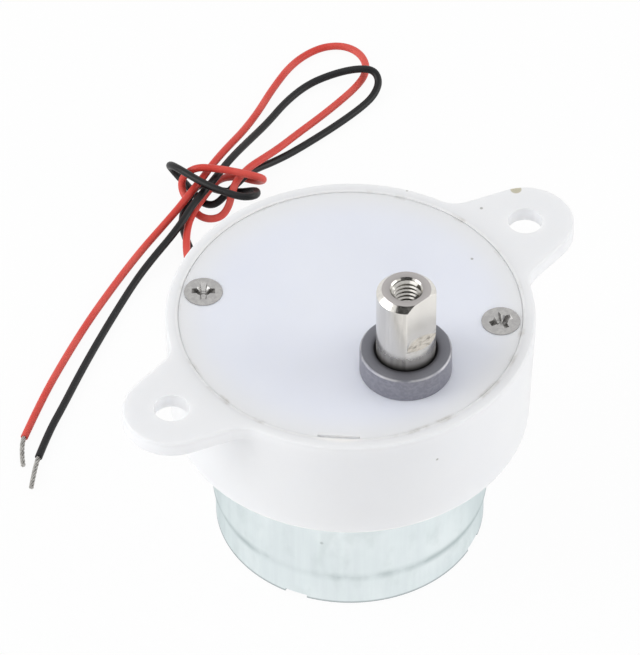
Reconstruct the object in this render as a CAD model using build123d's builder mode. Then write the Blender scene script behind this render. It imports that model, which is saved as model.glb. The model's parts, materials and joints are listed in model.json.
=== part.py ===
from build123d import *
from math import acos, atan2, cos, degrees, hypot, pi, radians, sin, sqrt, tan
import os

# A small brushed gear motor standing on its motor end: a flat steel-cased motor below,
# a round white gearbox with two mounting ears above, and an output shaft set off the
# motor's axis. Millimetres, +Z up along the motor axis, +X along the ears, and the
# origin under the motor on the surface it stands on.

# Fits
fit_gap = 0.05
run_gap = 0.1
gear_run_gap = 0.25

# Gear teeth
gear_module = 0.5
output_module = 0.6
pressure_angle = 20.0
motor_pinion_teeth = 10
wheel_teeth = 38
pinion_teeth = 12
output_teeth = 32
pinion_shift = 0.36
dedendum = 1.25
backlash = 0.12
wheel_flank_steps = 2
pinion_flank_steps = 3

# Gear widths and pins
wheel_w = 2.4
pinion_w = 3.2
output_gear_w = 2.6
mesh_margin = 0.4
gear_pin_r = 1.25
gear_pin_bury = 1.6
gear_pin_top_bury = 1.5
second_pin_turn = 55.0

# Motor, from its end cap up
cap_recess = 2.5
cap_t = 2.0
cap_boss_r = 4.2
cap_boss_h = 1.0
cap_boss_floor = 0.4
washer_t = 0.4
washer_r = 2.4
barrel_len = 3.0
barrel_r = 2.6
segment_t = 0.7
segment_count = 3
segment_gap = 0.6
coil_over = 1.7
core_len = 5.4
front_washer_rise = 0.2
front_bush_inset = 1.5
can_end_t = 1.0
can_r = 18.45
can_wall = 0.9
can_edge_r = 1.0
ring_t = 0.4
ring_low_z = 5.6
ring_top_gap = 0.2
ring_seam = 0.3
ring_seam_turn = 67.0
magnet_t = 3.6
magnet_span = 138.0
magnet_over = 0.9
clip_t = 0.5
clip_leg = 2.4
air_gap = 0.45
shoe_t = 1.7
shoe_span = 100.0
hub_wall = 1.35
arm_w = 4.6
pole_count = 3
coil_side = 1.8
coil_corner_r = 1.4
coil_hub_gap = 0.5
coil_shoe_gap = 0.3
motor_shaft_r = 1.15
front_bush_r = 3.0
rear_bush_r = 2.6
spigot_wall = 1.0
spigot_h = 2.2
brush_w = 2.0
brush_h = 1.8
brush_len = 2.3
brush_arm_t = 0.25
brush_arm_tail = 1.2
terminal_t = 0.5
terminal_w = 2.6
terminal_y = 6.6
terminal_low_z = 0.8
terminal_rise = 2.7
barrel_end_r = 0.65
barrel_end_len = 1.4
barrel_end_z = 1.45
crimp_turn = 30.0
crimp_count = 4
crimp_w = 3.2
crimp_h = 0.5
lug_t = 0.7
lug_reach = 1.4
notch_turn = 82.0
notch_w = 5.6
notch_h = 2.3

# Gearbox
shaft_offset = 12.4
floor_t = 2.0
wall_t = 2.1
wall_draft = 0.6
cavity_gap = 0.5
base_round = 0.9
rim_round = 0.35
pin_boss_h = 0.5
pin_boss_r = 1.9
lid_boss_h = 0.8
lid_t = 2.25
rim_lip = 0.1
seat_w = 0.4
lid_gap = 0.02
lid_edge = 0.12
pry_w = 5.7
pry_depth = 0.7
pry_h = 0.4
pry_turn = 229.5
ear_pitch = 59.3
ear_r = 6.65
ear_t = 2.2
ear_flare = 14.0
ear_blend = 4.0
ear_hole_r = 2.4

# Fasteners
lid_screw_inset = 2.6
lid_screw_turns = (131.7, -40.2)
lid_screw_r = 1.25
lid_screw_len = 9.0
lid_head_r = 2.6
lid_head_cone = 1.15
lid_head_proud = 0.25
lid_boss_r = 2.9
motor_screw_ring_r = 8.5
motor_screw_turn = 0.0
motor_screw_r = 1.2
motor_screw_len = 3.4
motor_head_r = 2.3
motor_head_cone = 1.1
screw_clear = 0.15

# Output shaft and its bearings
shaft_r = 4.0
shaft_rise = 15.0
shaft_edge = 0.75
flat_across = 7.0
flat_len = 8.0
flat_turn = -83.2
thread_r = 2.0
thread_depth = 11.0
thread_mouth = 0.25
gear_seat_r = 3.5
gear_seat_flat = 0.6
journal_r = 2.5
clip_groove = 0.3
clip_h = 0.6
clip_r = 3.2
clip_opening = 2.6
output_washer_t = 0.5
output_washer_r = 6.0
collar_r = 6.2
collar_h = 3.7
collar_edge = 0.25
collar_mouth = 0.3
bush_spigot_r = 5.2
lower_bush_r = 3.9
lower_bush_skin = 0.4
lower_boss_r = 5.0
lower_boss_h = 0.5

# Leads: heights along a route are counted in layers of lead above the one that lies flat
lead_r = 0.54
lead_lift = 0.025
lead_layer_gap = 0.37
bend_share = 0.45
lead_exit = 1.4
tinned_r = 0.35
red_tip = (-32.4, 32.2)
black_tip = (-33.9, 28.1)
tinned_lead_in = 1.6
red_route = [
    (-5.5, 13.5, 0.5), (-3.9, 14.6, 0.4), (-2, 15.2, 0.3), (-0.3, 15.9, 0.2), (0.8, 17.3, 0.1),
    (1.4, 19.6, 0.05), (2.2, 23.6, 0), (3.4, 29.6, 0), (4.9, 36.6, 0.05), (6.2, 43, 0.4),
    (7.3, 47.2, 0.8), (8.7, 50.4, 1), (10.4, 53, 1), (12.2, 55.2, 1), (14.2, 56.9, 1),
    (16.4, 58.2, 1), (18.7, 59.3, 1), (20.8, 60.2, 1.05), (22.6, 60.9, 0.5), (24.2, 60.8, 0.05),
    (25.3, 59.9, 0), (26, 58.7, 0), (26.4, 57.4, 0.4), (26.2, 56, 1.4), (25.4, 55.2, 2.5),
    (23.6, 56.5, 3.05), (21.9, 58.7, 3.05), (20.4, 60.3, 3.05), (19, 61.6, 3.05),
    (17.9, 62.6, 2.45), (17, 63.2, 1.4), (16.6, 62.7, 0.3), (16.3, 61, 0), (15.8, 58.9, 0),
    (15.8, 57, 0), (16.7, 55.7, 0), (18.3, 55.2, 0.05), (19.8, 55.6, 0.65), (20.9, 56.4, 1.55),
    (22.2, 57.3, 2), (23.9, 58.1, 2), (26, 58.7, 2), (28.8, 59.4, 1.6), (32.2, 60.4, 1.05),
    (36.4, 61.7, 0.6), (41.2, 63, 0.15), (46, 64.2, 0), (49.6, 65.2, 0), (52.2, 66.5, 0),
    (53.8, 68.7, 0), (54, 71.4, 0), (52.6, 73.7, 0), (49.6, 75, 0), (44.9, 74.6, 0), (39.6, 72.1, 0),
    (34.6, 69, 0.25), (30.2, 66.5, 0.8), (26.4, 64.5, 1.55), (23.4, 63, 1.95), (20.9, 61.8, 2.05),
    (18.6, 60.6, 2.05), (16.1, 59.6, 1.95), (13.2, 58.4, 1.7), (9.2, 57.4, 0.95), (4.3, 56, 0.25),
    (-2, 53.2, 0), (-9, 49.6, 0), (-16, 45.5, 0), (-22.8, 41.2, 0), (-29.2, 36.5, 0),
]
black_route = [
    (5.9, 13.6, 0.45), (4.9, 15.2, 0.3), (4, 17, 0.15), (3.8, 19.4, 0.05), (4.2, 22.8, 0),
    (5.3, 27.8, 0), (6.5, 34.4, 0), (8, 41.4, 0), (9, 46.8, 0), (10.1, 50.4, 0), (11.1, 53.4, 0),
    (12, 55.8, 0), (13, 57.7, 0.3), (14.4, 58.9, 0.75), (16, 60, 1.05), (17.8, 61, 1.1),
    (19.4, 61.5, 0.5), (20.5, 60.7, 0), (21.3, 59.4, 0), (22.4, 58.5, 0), (23.5, 57.4, 0.1),
    (24.1, 56, 0.8), (23.9, 54.5, 1.7), (22.9, 53, 2.45), (21.6, 52.5, 2.95), (20.3, 53.2, 3.05),
    (19.1, 55.1, 3.05), (18, 57.4, 3.05), (17.2, 59.9, 3.05), (16.7, 62.6, 2.95),
    (16.6, 64.8, 2.5), (16.9, 66.2, 1.7), (17.6, 66.4, 0.7), (18, 65.2, 0.05), (18, 63.6, 0),
    (17.9, 61.8, 0), (17.7, 60.1, 0), (17.8, 58.8, 0), (18.6, 57.9, 0), (19.6, 57.6, 0.3),
    (20.8, 57.6, 0.85), (22.2, 57.9, 1), (23.8, 58.4, 1), (25.6, 58.9, 1.05), (27.6, 59.3, 0.7),
    (30.2, 59.5, 0.3), (33.4, 59.7, 0.05), (37.4, 60, 0), (42.6, 60.5, 0), (47.6, 61.3, 0),
    (50.4, 62.1, 0.1), (52.3, 63.3, 0.6), (52.6, 65, 1.2), (51, 66.6, 1.2), (48.4, 68.5, 0.6),
    (44.4, 69.8, 0),
    (39.6, 68.8, 0), (34.6, 66.5, 0.25), (30.2, 64.6, 0.8), (26.4, 62.7, 1.55), (23.4, 61.2, 1.95),
    (20.8, 59.9, 2.05), (18.3, 58.8, 2.05), (15.9, 57.8, 2.05), (13.6, 56.7, 1.95),
    (11.5, 55.6, 1.75), (9, 54.8, 1.2), (5.7, 53.9, 0.6), (1.6, 52.4, 0.1), (-3.8, 49.4, 0),
    (-9.8, 45.8, 0), (-15.8, 42, 0), (-21.4, 38.2, 0), (-25.9, 35.3, 0), (-29.8, 32.2, 0),
]

# Motor levels
cap_top_z = cap_recess + cap_t
rear_washer_z = cap_top_z + run_gap
barrel_z = rear_washer_z + washer_t
core_z = barrel_z + barrel_len + coil_over
core_top_z = core_z + core_len
coil_top_z = core_top_z + coil_over
front_washer_z = coil_top_z + front_washer_rise
front_bush_z = front_washer_z + washer_t + run_gap
can_end_z = front_bush_z + front_bush_inset
can_h = can_end_z + can_end_t

# Motor radii
can_bore_r = can_r - can_wall
magnet_out_r = can_bore_r - fit_gap
magnet_in_r = magnet_out_r - magnet_t
core_r = magnet_in_r - air_gap
hub_r = motor_shaft_r + hub_wall
spigot_r = front_bush_r + spigot_wall
commutator_r = barrel_r + segment_t
commutator_mid_z = barrel_z + barrel_len / 2
brush_x = commutator_r + run_gap
brush_arm_x = brush_x + brush_len
terminal_x = brush_arm_x + brush_arm_t

# Gear train places and levels
first_centres = gear_module * (motor_pinion_teeth + wheel_teeth) / 2
mid_centres = gear_module * (pinion_teeth + wheel_teeth) / 2
last_centres = output_module * (pinion_teeth + output_teeth) / 2
output_xy = (0, -shaft_offset)
first_pin_y = (last_centres**2 - first_centres**2 - shaft_offset**2) / (2 * shaft_offset)
first_pin_xy = (-sqrt(first_centres**2 - first_pin_y**2), first_pin_y)
second_pin_xy = (
    first_pin_xy[0] + mid_centres * cos(radians(second_pin_turn)),
    first_pin_xy[1] + mid_centres * sin(radians(second_pin_turn)),
)
floor_top_z = can_h + floor_t
first_gear_z = floor_top_z + pin_boss_h + gear_run_gap
second_gear_z = first_gear_z + wheel_w + mesh_margin
third_gear_z = first_gear_z + wheel_w + pinion_w + gear_run_gap
output_gear_z = third_gear_z + wheel_w + mesh_margin
output_gear_top_z = output_gear_z + output_gear_w
second_gear_top_z = second_gear_z + wheel_w + pinion_w
third_gear_top_z = third_gear_z + wheel_w + pinion_w
lid_under_z = third_gear_top_z + gear_run_gap + lid_boss_h
lid_top_z = lid_under_z + lid_t
rim_z = lid_top_z + rim_lip
collar_top_z = lid_top_z + collar_h
shaft_top_z = lid_top_z + shaft_rise
motor_shaft_low_z = cap_recess - cap_boss_h + cap_boss_floor + run_gap
motor_shaft_top_z = second_gear_z - gear_run_gap

# Gearbox radii
wheel_tip_r = gear_module * (wheel_teeth / 2 + 1 - pinion_shift)
output_tip_r = output_module * (output_teeth / 2 + 1 - pinion_shift)
cavity_r = max(shaft_offset + output_tip_r, first_centres + wheel_tip_r) + cavity_gap
gearbox_r = cavity_r + wall_t
base_r = gearbox_r - wall_draft
seat_r = cavity_r + seat_w
lid_r = seat_r - lid_gap
ear_x = ear_pitch / 2
ear_low_z = rim_z - ear_t


def polar(radius, turn):
    """A point at a radius and a turn, in degrees, from +X."""
    return (radius * cos(radians(turn)), radius * sin(radians(turn)))


lid_screw_places = [polar(cavity_r - lid_screw_inset, turn) for turn in lid_screw_turns]
motor_screw_places = [polar(motor_screw_ring_r, motor_screw_turn + half) for half in (0, 180)]


def gear_points(module, teeth, shift, flank_steps):
    """The outline of an involute spur gear with a tooth centred on +X."""
    pitch_r = module * teeth / 2
    base_circle_r = pitch_r * cos(radians(pressure_angle))
    tip_r = module * (teeth / 2 + 1 + shift)
    root_r = module * (teeth / 2 - dedendum + shift)
    start_r = max(base_circle_r, root_r)
    tooth_w = module * (pi / 2 + 2 * shift * tan(radians(pressure_angle))) - backlash / 2

    def half_turn(radius):
        slope = acos(min(1.0, base_circle_r / radius))
        pitch_slope = radians(pressure_angle)
        rolled = (tan(pitch_slope) - pitch_slope) - (tan(slope) - slope)
        return degrees(tooth_w / (2 * pitch_r) + rolled)

    steps = range(flank_steps + 1)
    flank_radii = [start_r + (tip_r - start_r) * step / flank_steps for step in steps]
    points = []
    for tooth in range(teeth):
        middle = 360 * tooth / teeth
        points.append(polar(root_r, middle - half_turn(start_r)))
        points += [polar(radius, middle - half_turn(radius)) for radius in flank_radii]
        points += [polar(radius, middle + half_turn(radius)) for radius in reversed(flank_radii)]
        points.append(polar(root_r, middle + half_turn(start_r)))
    return points


def gear_face(module, teeth, shift, flank_steps, turn):
    """A flat gear face, turned about its own centre."""
    with BuildSketch() as face:
        with BuildLine():
            Polyline(*gear_points(module, teeth, shift, flank_steps), close=True)
        make_face()
    return face.sketch.rotate(Axis.Z, turn)


def mesh_turn(teeth, centre, mate_teeth, mate_centre, mate_turn):
    """The turn that puts a gear in mesh with one that is already placed."""
    towards = degrees(atan2(centre[1] - mate_centre[1], centre[0] - mate_centre[0]))
    mate_step = (towards - mate_turn) * mate_teeth / 360
    return towards + 180 - (0.5 - mate_step) * 360 / teeth


def ring_sector(inner_r, outer_r, middle_turn, span):
    """A flat piece of a ring, centred on a turn."""
    start = middle_turn - span / 2
    with BuildSketch() as face:
        with BuildLine():
            outer = CenterArc((0, 0), outer_r, start, span)
            inner = CenterArc((0, 0), inner_r, start, span)
            Line(outer @ 0, inner @ 0)
            Line(outer @ 1, inner @ 1)
        make_face()
    return face.sketch


third_gear_turn = mesh_turn(pinion_teeth, first_pin_xy, output_teeth, output_xy, 0)
second_gear_turn = mesh_turn(pinion_teeth, second_pin_xy, wheel_teeth, first_pin_xy, third_gear_turn)
first_gear_turn = mesh_turn(pinion_teeth, first_pin_xy, wheel_teeth, second_pin_xy, second_gear_turn)
motor_pinion_turn = mesh_turn(motor_pinion_teeth, (0, 0), wheel_teeth, first_pin_xy, first_gear_turn)


# Gearbox housing: a drafted round tub with two ears flush with its rim
ear_tangent = (ear_x + ear_r * sin(radians(ear_flare)), ear_r * cos(radians(ear_flare)))
ear_root_x = cavity_r
ear_root_half = ear_tangent[1] + (ear_tangent[0] - ear_root_x) * tan(radians(ear_flare))

with BuildPart() as gearbox_housing:
    with BuildSketch(Plane.XZ):
        with BuildLine():
            Polyline(
                (spigot_r + fit_gap, can_h),
                (base_r, can_h),
                (gearbox_r, ear_low_z),
                (gearbox_r, rim_z),
                (seat_r, rim_z),
                (seat_r, lid_under_z),
                (cavity_r, lid_under_z),
                (cavity_r, floor_top_z),
                (spigot_r + fit_gap, floor_top_z),
                close=True,
            )
        make_face()
    revolve(axis=Axis.Z)
    base_edge = edges().filter_by(GeomType.CIRCLE).group_by(Axis.Z)[0].sort_by(SortBy.RADIUS)[-1]
    fillet(base_edge, radius=base_round)
    with BuildSketch(Plane.XY.offset(ear_low_z)) as ear_outline:
        Circle(gearbox_r)
        for side in (1, -1):
            Polygon(
                (side * ear_root_x, ear_root_half),
                (side * ear_tangent[0], ear_tangent[1]),
                (side * ear_tangent[0], -ear_tangent[1]),
                (side * ear_root_x, -ear_root_half),
                align=None,
            )
        with GridLocations(ear_pitch, 0, 2, 1):
            Circle(ear_r)
        ear_corners = ear_outline.vertices().filter_by(
            lambda corner: abs(hypot(corner.X, corner.Y) - gearbox_r) < fit_gap
        )
        fillet(ear_corners, radius=ear_blend)
        Circle(seat_r, mode=Mode.SUBTRACT)
        with GridLocations(ear_pitch, 0, 2, 1):
            Circle(ear_hole_r, mode=Mode.SUBTRACT)
    extrude(amount=ear_t)
    fillet(faces().sort_by(Axis.Z)[-1].outer_wire().edges(), radius=rim_round)
    with BuildSketch(Plane.XY.offset(floor_top_z)):
        with Locations(*lid_screw_places):
            Circle(lid_boss_r)
    extrude(amount=lid_under_z - floor_top_z)
    with BuildSketch(Plane.XY.offset(floor_top_z)):
        with Locations(output_xy):
            Circle(lower_boss_r)
    extrude(amount=lower_boss_h)
    with BuildSketch(Plane.XY.offset(floor_top_z)):
        with Locations(first_pin_xy):
            Circle(pin_boss_r)
    extrude(amount=pin_boss_h)
    with BuildSketch(Plane.XY.offset(floor_top_z)):
        with Locations(second_pin_xy):
            Circle(pin_boss_r)
    extrude(amount=second_gear_z - gear_run_gap - floor_top_z)
    with BuildSketch(Plane.XY.offset(lid_under_z)):
        with Locations(*lid_screw_places):
            Circle(lid_screw_r + fit_gap)
    extrude(amount=-lid_screw_len, mode=Mode.SUBTRACT)
    with BuildSketch(Plane.XY.offset(floor_top_z - gear_pin_bury)):
        with Locations(first_pin_xy, second_pin_xy):
            Circle(gear_pin_r)
    extrude(until=Until.LAST, mode=Mode.SUBTRACT)
    with BuildSketch(Plane.XY.offset(can_h + lower_bush_skin)):
        with Locations(output_xy):
            Circle(lower_bush_r)
    extrude(amount=floor_t + lower_boss_h, mode=Mode.SUBTRACT)
    with BuildSketch(Plane.XY.offset(can_h)):
        with Locations(*motor_screw_places):
            Circle(motor_screw_r + screw_clear)
    extrude(amount=floor_t, mode=Mode.SUBTRACT)
    with Locations(*[(x, y, floor_top_z) for x, y in motor_screw_places]):
        Cone(
            motor_screw_r + screw_clear,
            motor_head_r + fit_gap,
            motor_head_cone,
            align=(Align.CENTER, Align.CENTER, Align.MAX),
            mode=Mode.SUBTRACT,
        )

# Gearbox lid: a plate let into the rim, with bosses under it for the gear pins
pin_hole_top_z = lid_under_z + gear_pin_top_bury

with BuildPart() as gearbox_lid:
    with BuildSketch(Plane.XY.offset(lid_under_z)):
        Circle(lid_r)
    extrude(amount=lid_t)
    chamfer(edges().group_by(Axis.Z)[-1], length=lid_edge)
    with BuildSketch(Plane.XY.offset(third_gear_top_z + gear_run_gap)):
        with Locations(first_pin_xy):
            Circle(pin_boss_r)
    extrude(amount=lid_boss_h)
    with BuildSketch(Plane.XY.offset(second_gear_top_z + gear_run_gap)):
        with Locations(second_pin_xy):
            Circle(pin_boss_r)
    extrude(amount=lid_under_z - second_gear_top_z - gear_run_gap)
    with BuildSketch(Plane.XY.offset(pin_hole_top_z)):
        with Locations(first_pin_xy, second_pin_xy):
            Circle(gear_pin_r + fit_gap)
    extrude(amount=second_gear_top_z - pin_hole_top_z, mode=Mode.SUBTRACT)
    with BuildSketch(Plane.XY.offset(lid_under_z)):
        with Locations(output_xy):
            Circle(bush_spigot_r)
        with Locations(*lid_screw_places):
            Circle(lid_screw_r + screw_clear)
    extrude(amount=lid_t, mode=Mode.SUBTRACT)
    with Locations(*[(x, y, lid_top_z) for x, y in lid_screw_places]):
        Cone(
            lid_screw_r + screw_clear,
            lid_head_r + fit_gap,
            lid_head_cone,
            align=(Align.CENTER, Align.CENTER, Align.MAX),
            mode=Mode.SUBTRACT,
        )
    with PolarLocations(lid_r, 1, start_angle=pry_turn):
        with Locations((0, 0, lid_top_z)):
            Box(
                2 * pry_depth,
                pry_w,
                pry_h,
                align=(Align.CENTER, Align.CENTER, Align.MAX),
                mode=Mode.SUBTRACT,
            )

# Lid screws, flat-headed, into the two bosses inside the wall
with BuildPart() as lid_screws:
    with Locations(*[(x, y, lid_top_z) for x, y in lid_screw_places]):
        Cylinder(lid_head_r, lid_head_proud, align=(Align.CENTER, Align.CENTER, Align.MIN))
        Cone(
            lid_screw_r,
            lid_head_r,
            lid_head_cone,
            align=(Align.CENTER, Align.CENTER, Align.MAX),
        )
        Cylinder(lid_screw_r, lid_screw_len, align=(Align.CENTER, Align.CENTER, Align.MAX))
    fillet(edges().group_by(Axis.Z)[-1], radius=lid_head_proud / 2)

# Motor screws, sunk in the gearbox floor and tapped into the end of the can
with BuildPart() as motor_screws:
    with Locations(*[(x, y, floor_top_z) for x, y in motor_screw_places]):
        Cone(
            motor_screw_r,
            motor_head_r,
            motor_head_cone,
            align=(Align.CENTER, Align.CENTER, Align.MAX),
        )
        Cylinder(motor_screw_r, motor_screw_len, align=(Align.CENTER, Align.CENTER, Align.MAX))

# Gear pins, pressed into the floor and steadied by the lid
with BuildPart() as gear_pins:
    with BuildSketch(Plane.XY.offset(floor_top_z - gear_pin_bury)):
        with Locations(first_pin_xy, second_pin_xy):
            Circle(gear_pin_r)
    extrude(amount=pin_hole_top_z - run_gap - floor_top_z + gear_pin_bury)

# Output bush: the sintered collar that stands on the lid
bush_bore_r = shaft_r + fit_gap
bush_low_z = output_gear_top_z + output_washer_t + gear_run_gap

with BuildPart() as output_bush:
    with BuildSketch(Plane.XZ.offset(shaft_offset)):
        with BuildLine():
            Polyline(
                (bush_bore_r, bush_low_z),
                (bush_spigot_r, bush_low_z),
                (bush_spigot_r, lid_top_z),
                (collar_r, lid_top_z),
                (collar_r, collar_top_z - collar_edge),
                (collar_r - collar_edge, collar_top_z),
                (bush_bore_r + collar_mouth, collar_top_z),
                (bush_bore_r, collar_top_z - collar_mouth),
                close=True,
            )
        make_face()
    revolve(axis=Axis((0, -shaft_offset, 0), (0, 0, 1)))

# Lower bush, in a blind pocket of the gearbox floor
with BuildPart() as lower_bush:
    with BuildSketch(Plane.XY.offset(can_h + lower_bush_skin)):
        with Locations(output_xy):
            Circle(lower_bush_r)
            Circle(journal_r + fit_gap, mode=Mode.SUBTRACT)
    extrude(amount=floor_t + lower_boss_h - lower_bush_skin)

# Output shaft: journal, gear seat, round body and a tapped end with one milled flat
clip_z = output_gear_z - clip_h
shaft_low_z = can_h + lower_bush_skin + run_gap

with BuildPart() as output_shaft:
    with BuildSketch(Plane.XZ.offset(shaft_offset)):
        with BuildLine():
            Polyline(
                (0, shaft_low_z),
                (journal_r, shaft_low_z),
                (journal_r, clip_z),
                (journal_r - clip_groove, clip_z),
                (journal_r - clip_groove, output_gear_z),
                (gear_seat_r, output_gear_z),
                (gear_seat_r, output_gear_top_z),
                (shaft_r, output_gear_top_z),
                (shaft_r, shaft_top_z - shaft_edge),
                (shaft_r - shaft_edge, shaft_top_z),
                (0, shaft_top_z),
                close=True,
            )
        make_face()
    revolve(axis=Axis((0, -shaft_offset, 0), (0, 0, 1)))
    with BuildSketch(Plane.XY.offset(shaft_top_z - flat_len)):
        with Locations(Location((*output_xy, 0), flat_turn)):
            with Locations((flat_across - shaft_r, 0)):
                Rectangle(2 * shaft_r, 2 * shaft_r, align=(Align.MIN, Align.CENTER))
    extrude(amount=flat_len, mode=Mode.SUBTRACT)
    with BuildSketch(Plane.XY.offset(output_gear_z)):
        with Locations((gear_seat_r - gear_seat_flat, -shaft_offset)):
            Rectangle(2 * gear_seat_r, 2 * gear_seat_r, align=(Align.MIN, Align.CENTER))
    extrude(amount=output_gear_w, mode=Mode.SUBTRACT)
    with BuildSketch(Plane.XY.offset(shaft_top_z)):
        with Locations(output_xy):
            Circle(thread_r)
    extrude(amount=-thread_depth, mode=Mode.SUBTRACT)
    thread_edge = edges().filter_by(GeomType.CIRCLE).group_by(Axis.Z)[-1].sort_by(SortBy.RADIUS)[0]
    chamfer(thread_edge, length=thread_mouth)

# Output gear, held on the shaft's flat between its shoulder and the clip
with BuildPart() as output_gear:
    with BuildSketch(Plane.XY.offset(output_gear_z)):
        with Locations(output_xy):
            add(gear_face(output_module, output_teeth, -pinion_shift, wheel_flank_steps, 0))
        with BuildSketch(mode=Mode.SUBTRACT):
            with Locations(output_xy):
                Circle(gear_seat_r)
            with Locations((gear_seat_r - gear_seat_flat, -shaft_offset)):
                Rectangle(
                    2 * gear_seat_r,
                    2 * gear_seat_r,
                    align=(Align.MIN, Align.CENTER),
                    mode=Mode.SUBTRACT,
                )
    extrude(amount=output_gear_w)

with BuildPart() as shaft_clip:
    with BuildSketch(Plane.XY.offset(clip_z)):
        with Locations(output_xy):
            Circle(clip_r)
            Circle(journal_r - clip_groove, mode=Mode.SUBTRACT)
            Rectangle(
                clip_opening,
                2 * clip_r,
                align=(Align.CENTER, Align.MAX),
                mode=Mode.SUBTRACT,
            )
    extrude(amount=clip_h)

with BuildPart() as output_washer:
    with BuildSketch(Plane.XY.offset(output_gear_top_z)):
        with Locations(output_xy):
            Circle(output_washer_r)
            Circle(shaft_r + fit_gap, mode=Mode.SUBTRACT)
    extrude(amount=output_washer_t)


def compound_gear(centre, low_z, pinion_module, turn):
    """A wheel with a smaller pinion on top of it, bored to run on a pin."""
    with BuildPart() as gear:
        with BuildSketch(Plane.XY.offset(low_z)):
            with Locations(centre):
                add(gear_face(gear_module, wheel_teeth, -pinion_shift, wheel_flank_steps, turn))
        extrude(amount=wheel_w)
        with BuildSketch(Plane.XY.offset(low_z + wheel_w)):
            with Locations(centre):
                add(gear_face(pinion_module, pinion_teeth, pinion_shift, pinion_flank_steps, turn))
        extrude(amount=pinion_w)
        with BuildSketch(Plane.XY.offset(low_z)):
            with Locations(centre):
                Circle(gear_pin_r + fit_gap)
        extrude(amount=wheel_w + pinion_w, mode=Mode.SUBTRACT)
    return gear


first_gear = compound_gear(first_pin_xy, first_gear_z, gear_module, first_gear_turn)
second_gear = compound_gear(second_pin_xy, second_gear_z, gear_module, second_gear_turn)
third_gear = compound_gear(first_pin_xy, third_gear_z, output_module, third_gear_turn)

# Motor can: drawn steel, open at the bottom, with a spigot that centres the gearbox
with BuildPart() as motor_can:
    with BuildSketch(Plane.XZ):
        with BuildLine():
            Polyline(
                (front_bush_r, can_end_z),
                (can_bore_r, can_end_z),
                (can_bore_r, 0),
                (can_r, 0),
                (can_r, can_h),
                (spigot_r, can_h),
                (spigot_r, can_h + spigot_h),
                (front_bush_r, can_h + spigot_h),
                close=True,
            )
        make_face()
    revolve(axis=Axis.Z)
    can_edge = edges().filter_by(GeomType.CIRCLE).filter_by_position(Axis.Z, can_h, can_h)
    fillet(can_edge.sort_by(SortBy.RADIUS)[-1], radius=can_edge_r)
    with PolarLocations(can_bore_r, crimp_count, start_angle=crimp_turn):
        with Locations((0, 0, cap_recess)):
            Box(2 * lug_reach, crimp_w, lug_t, align=(Align.CENTER, Align.CENTER, Align.MAX))
    with BuildSketch(Plane.XY.offset(cap_recess - lug_t)):
        Circle(can_r + lug_reach + can_wall)
        Circle(can_r, mode=Mode.SUBTRACT)
    extrude(amount=lug_t, mode=Mode.SUBTRACT)
    with PolarLocations(can_bore_r, crimp_count, start_angle=crimp_turn):
        Box(
            4 * can_wall,
            crimp_w,
            crimp_h,
            align=(Align.CENTER, Align.CENTER, Align.MIN),
            mode=Mode.SUBTRACT,
        )
    with PolarLocations(can_bore_r, 1, start_angle=notch_turn):
        Box(
            4 * can_wall,
            notch_w,
            notch_h,
            align=(Align.CENTER, Align.CENTER, Align.MIN),
            mode=Mode.SUBTRACT,
        )
    with BuildSketch(Plane.XY.offset(can_end_z)):
        with Locations(*motor_screw_places):
            Circle(motor_screw_r + fit_gap)
    extrude(amount=can_end_t, mode=Mode.SUBTRACT)

# Flux ring: a rolled steel band with a butt seam
with BuildPart() as flux_ring:
    with BuildSketch(Plane.XY.offset(ring_low_z)):
        Circle(can_r + ring_t)
        Circle(can_r, mode=Mode.SUBTRACT)
        with PolarLocations(can_r, 1, start_angle=ring_seam_turn):
            Rectangle(4 * ring_t, ring_seam, mode=Mode.SUBTRACT)
    extrude(amount=can_h - ring_top_gap - ring_low_z)

# Field magnets and the spring clips that spread them
magnet_z = core_z - magnet_over
magnet_h = core_len + 2 * magnet_over

with BuildPart() as field_magnets:
    with BuildSketch(Plane.XY.offset(magnet_z)):
        for middle in (0, 180):
            add(ring_sector(magnet_in_r, magnet_out_r, middle, magnet_span))
    extrude(amount=magnet_h)

clip_span = 180 - magnet_span - degrees(2 * fit_gap / magnet_in_r)
clip_leg_span = degrees(clip_t / magnet_out_r)

with BuildPart() as magnet_clips:
    with BuildSketch(Plane.XY.offset(magnet_z)):
        for middle in (90, 270):
            add(ring_sector(magnet_out_r - clip_t, magnet_out_r, middle, clip_span))
            for side in (1, -1):
                leg_turn = middle + side * (clip_span - clip_leg_span) / 2
                add(ring_sector(magnet_out_r - clip_leg, magnet_out_r, leg_turn, clip_leg_span))
    extrude(amount=magnet_h)

# Motor bearings
with BuildPart() as front_bush:
    with BuildSketch(Plane.XY.offset(front_bush_z)):
        Circle(front_bush_r)
        Circle(motor_shaft_r + fit_gap, mode=Mode.SUBTRACT)
    extrude(amount=can_h + spigot_h - front_bush_z)

rear_bush_z = motor_shaft_low_z - run_gap

with BuildPart() as rear_bush:
    with BuildSketch(Plane.XY.offset(rear_bush_z)):
        Circle(rear_bush_r)
        Circle(motor_shaft_r + fit_gap, mode=Mode.SUBTRACT)
    extrude(amount=cap_top_z - rear_bush_z)

# End cap: a moulded disc that carries the rear bush and the two terminals
terminal_mid_y = terminal_y + terminal_w / 2
terminal_mid_x = terminal_x + terminal_t / 2

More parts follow.
